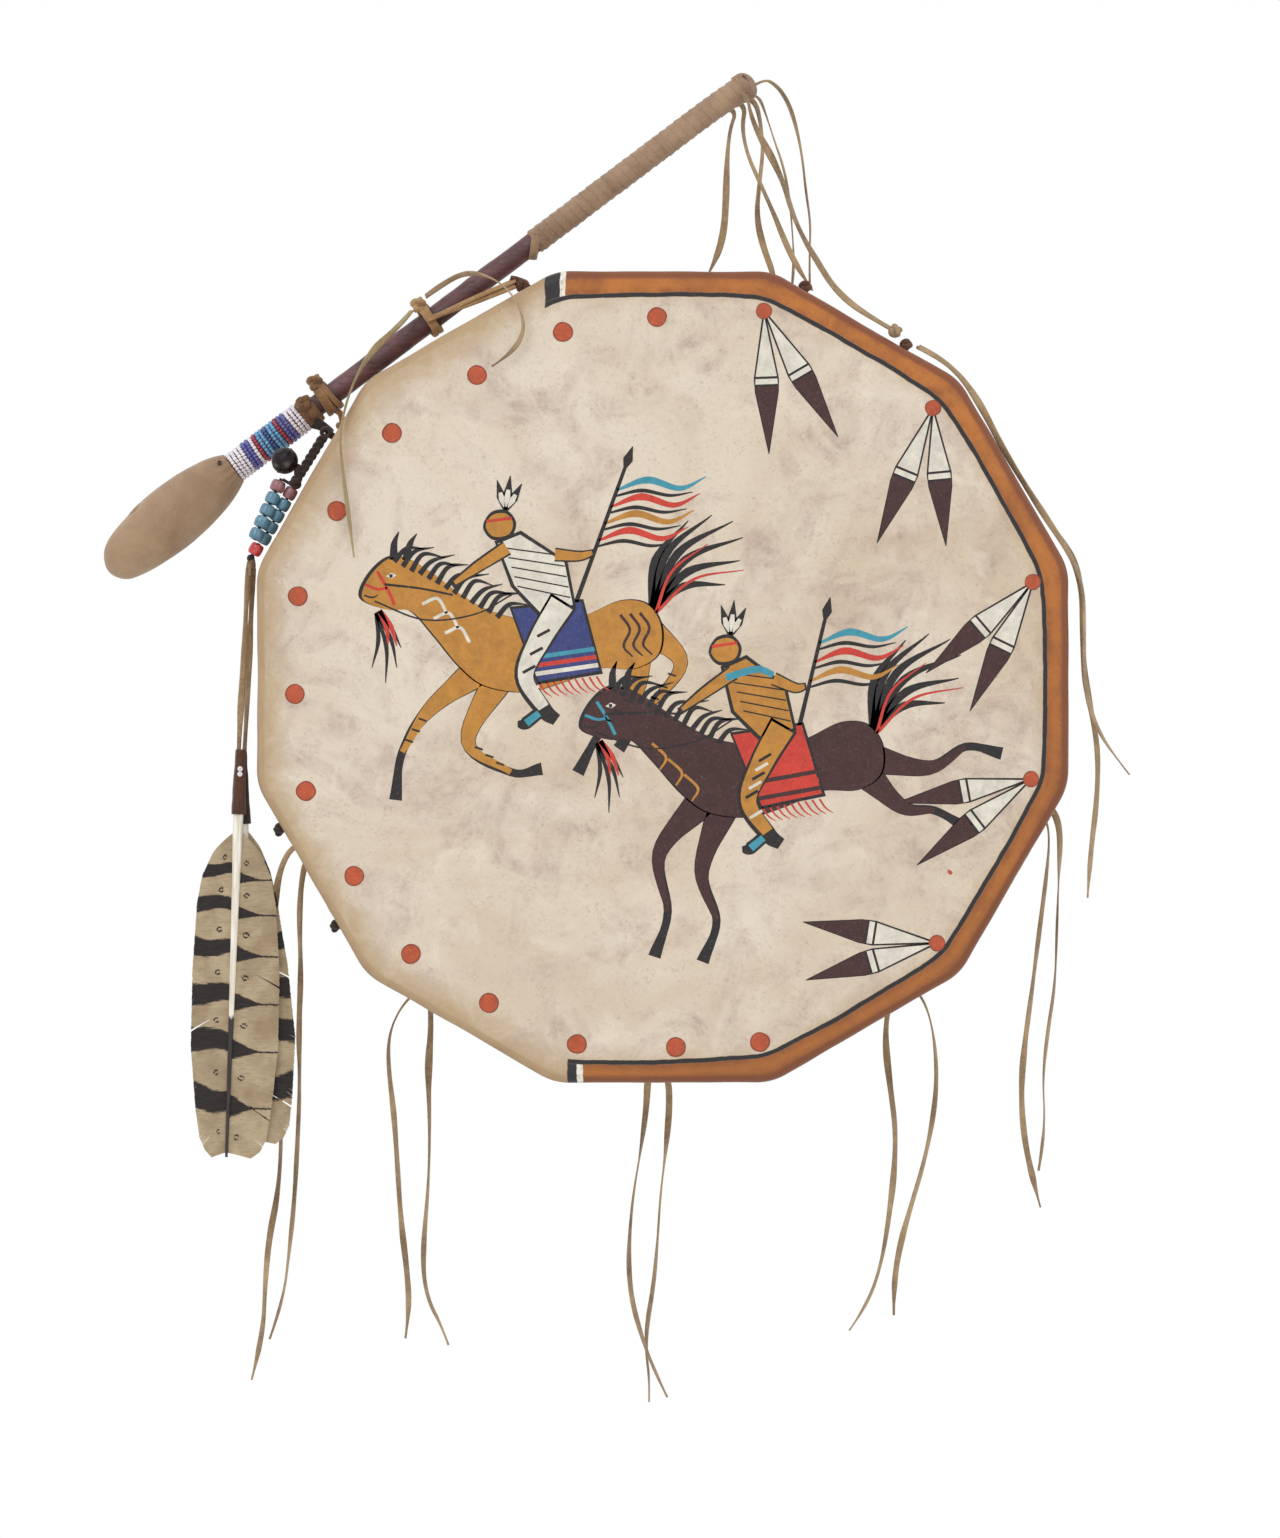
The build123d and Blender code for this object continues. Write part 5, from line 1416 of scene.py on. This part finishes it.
paint_rim_marks()
paint_riders()
for paint_name, pile in painted.items():
    pile.build(f"face_{paint_name}", paint_name, "drum", "rawhide", smooth=False)

# --- floor, light and camera ---

def make_floor():
    data = bpy.data.meshes.new("studio_floor")
    data.from_pydata([(-3, -3, -1.2), (3, -3, -1.2), (3, 3, -1.2), (-3, 3, -1.2)], [], [(0, 1, 2, 3)])
    look = Look("studio_floor", roughness=0.8)
    tone = look.blend(look.noise(3, 3), rgb(240, 240, 238), rgb(232, 231, 229))
    data.materials.append(look.finish(tone, look.noise(60, 4)))
    floor = bpy.data.objects.new("studio_floor", data)
    bpy.context.scene.collection.objects.link(floor)


def area_light(name, place, target, size, power):
    data = bpy.data.lights.new(name, "AREA")
    data.shape, data.size, data.energy = "DISK", size, power
    lamp = bpy.data.objects.new(name, data)
    bpy.context.scene.collection.objects.link(lamp)
    lamp.location = place
    lamp.rotation_euler = (Vector(target) - Vector(place)).to_track_quat("-Z", "Y").to_euler()


def make_camera():
    """Straight in front, level with the drum's centre, framed low and to the left by lens shift."""
    distance, seen_height = 2.2, 0.769
    data = bpy.data.cameras.new("camera")
    data.sensor_fit = "VERTICAL"
    data.sensor_height = 36.0
    data.lens = data.sensor_height * distance / seen_height
    data.shift_x, data.shift_y = -0.01495, -0.0598
    camera = bpy.data.objects.new("camera", data)
    camera.location = (0, FACE_Y * MM - distance, 0)
    camera.rotation_euler = (pi / 2, 0, 0)
    bpy.context.scene.collection.objects.link(camera)
    bpy.context.scene.camera = camera


def make_world():
    world = bpy.data.worlds.new("studio")
    world.use_nodes = True
    background = next(n for n in world.node_tree.nodes if n.type == "BACKGROUND")
    background.inputs["Color"].default_value = (1, 1, 1, 1)
    background.inputs["Strength"].default_value = 1.0
    bpy.context.scene.world = world


make_floor()
make_world()
area_light("key", (-1.1, -2.0, 1.5), (0, 0, 0), 1.2, 9)
area_light("fill", (1.6, -2.2, 0.4), (0, 0, -0.05), 1.6, 2.5)
make_camera()
bpy.context.scene.view_settings.view_transform = "Standard"
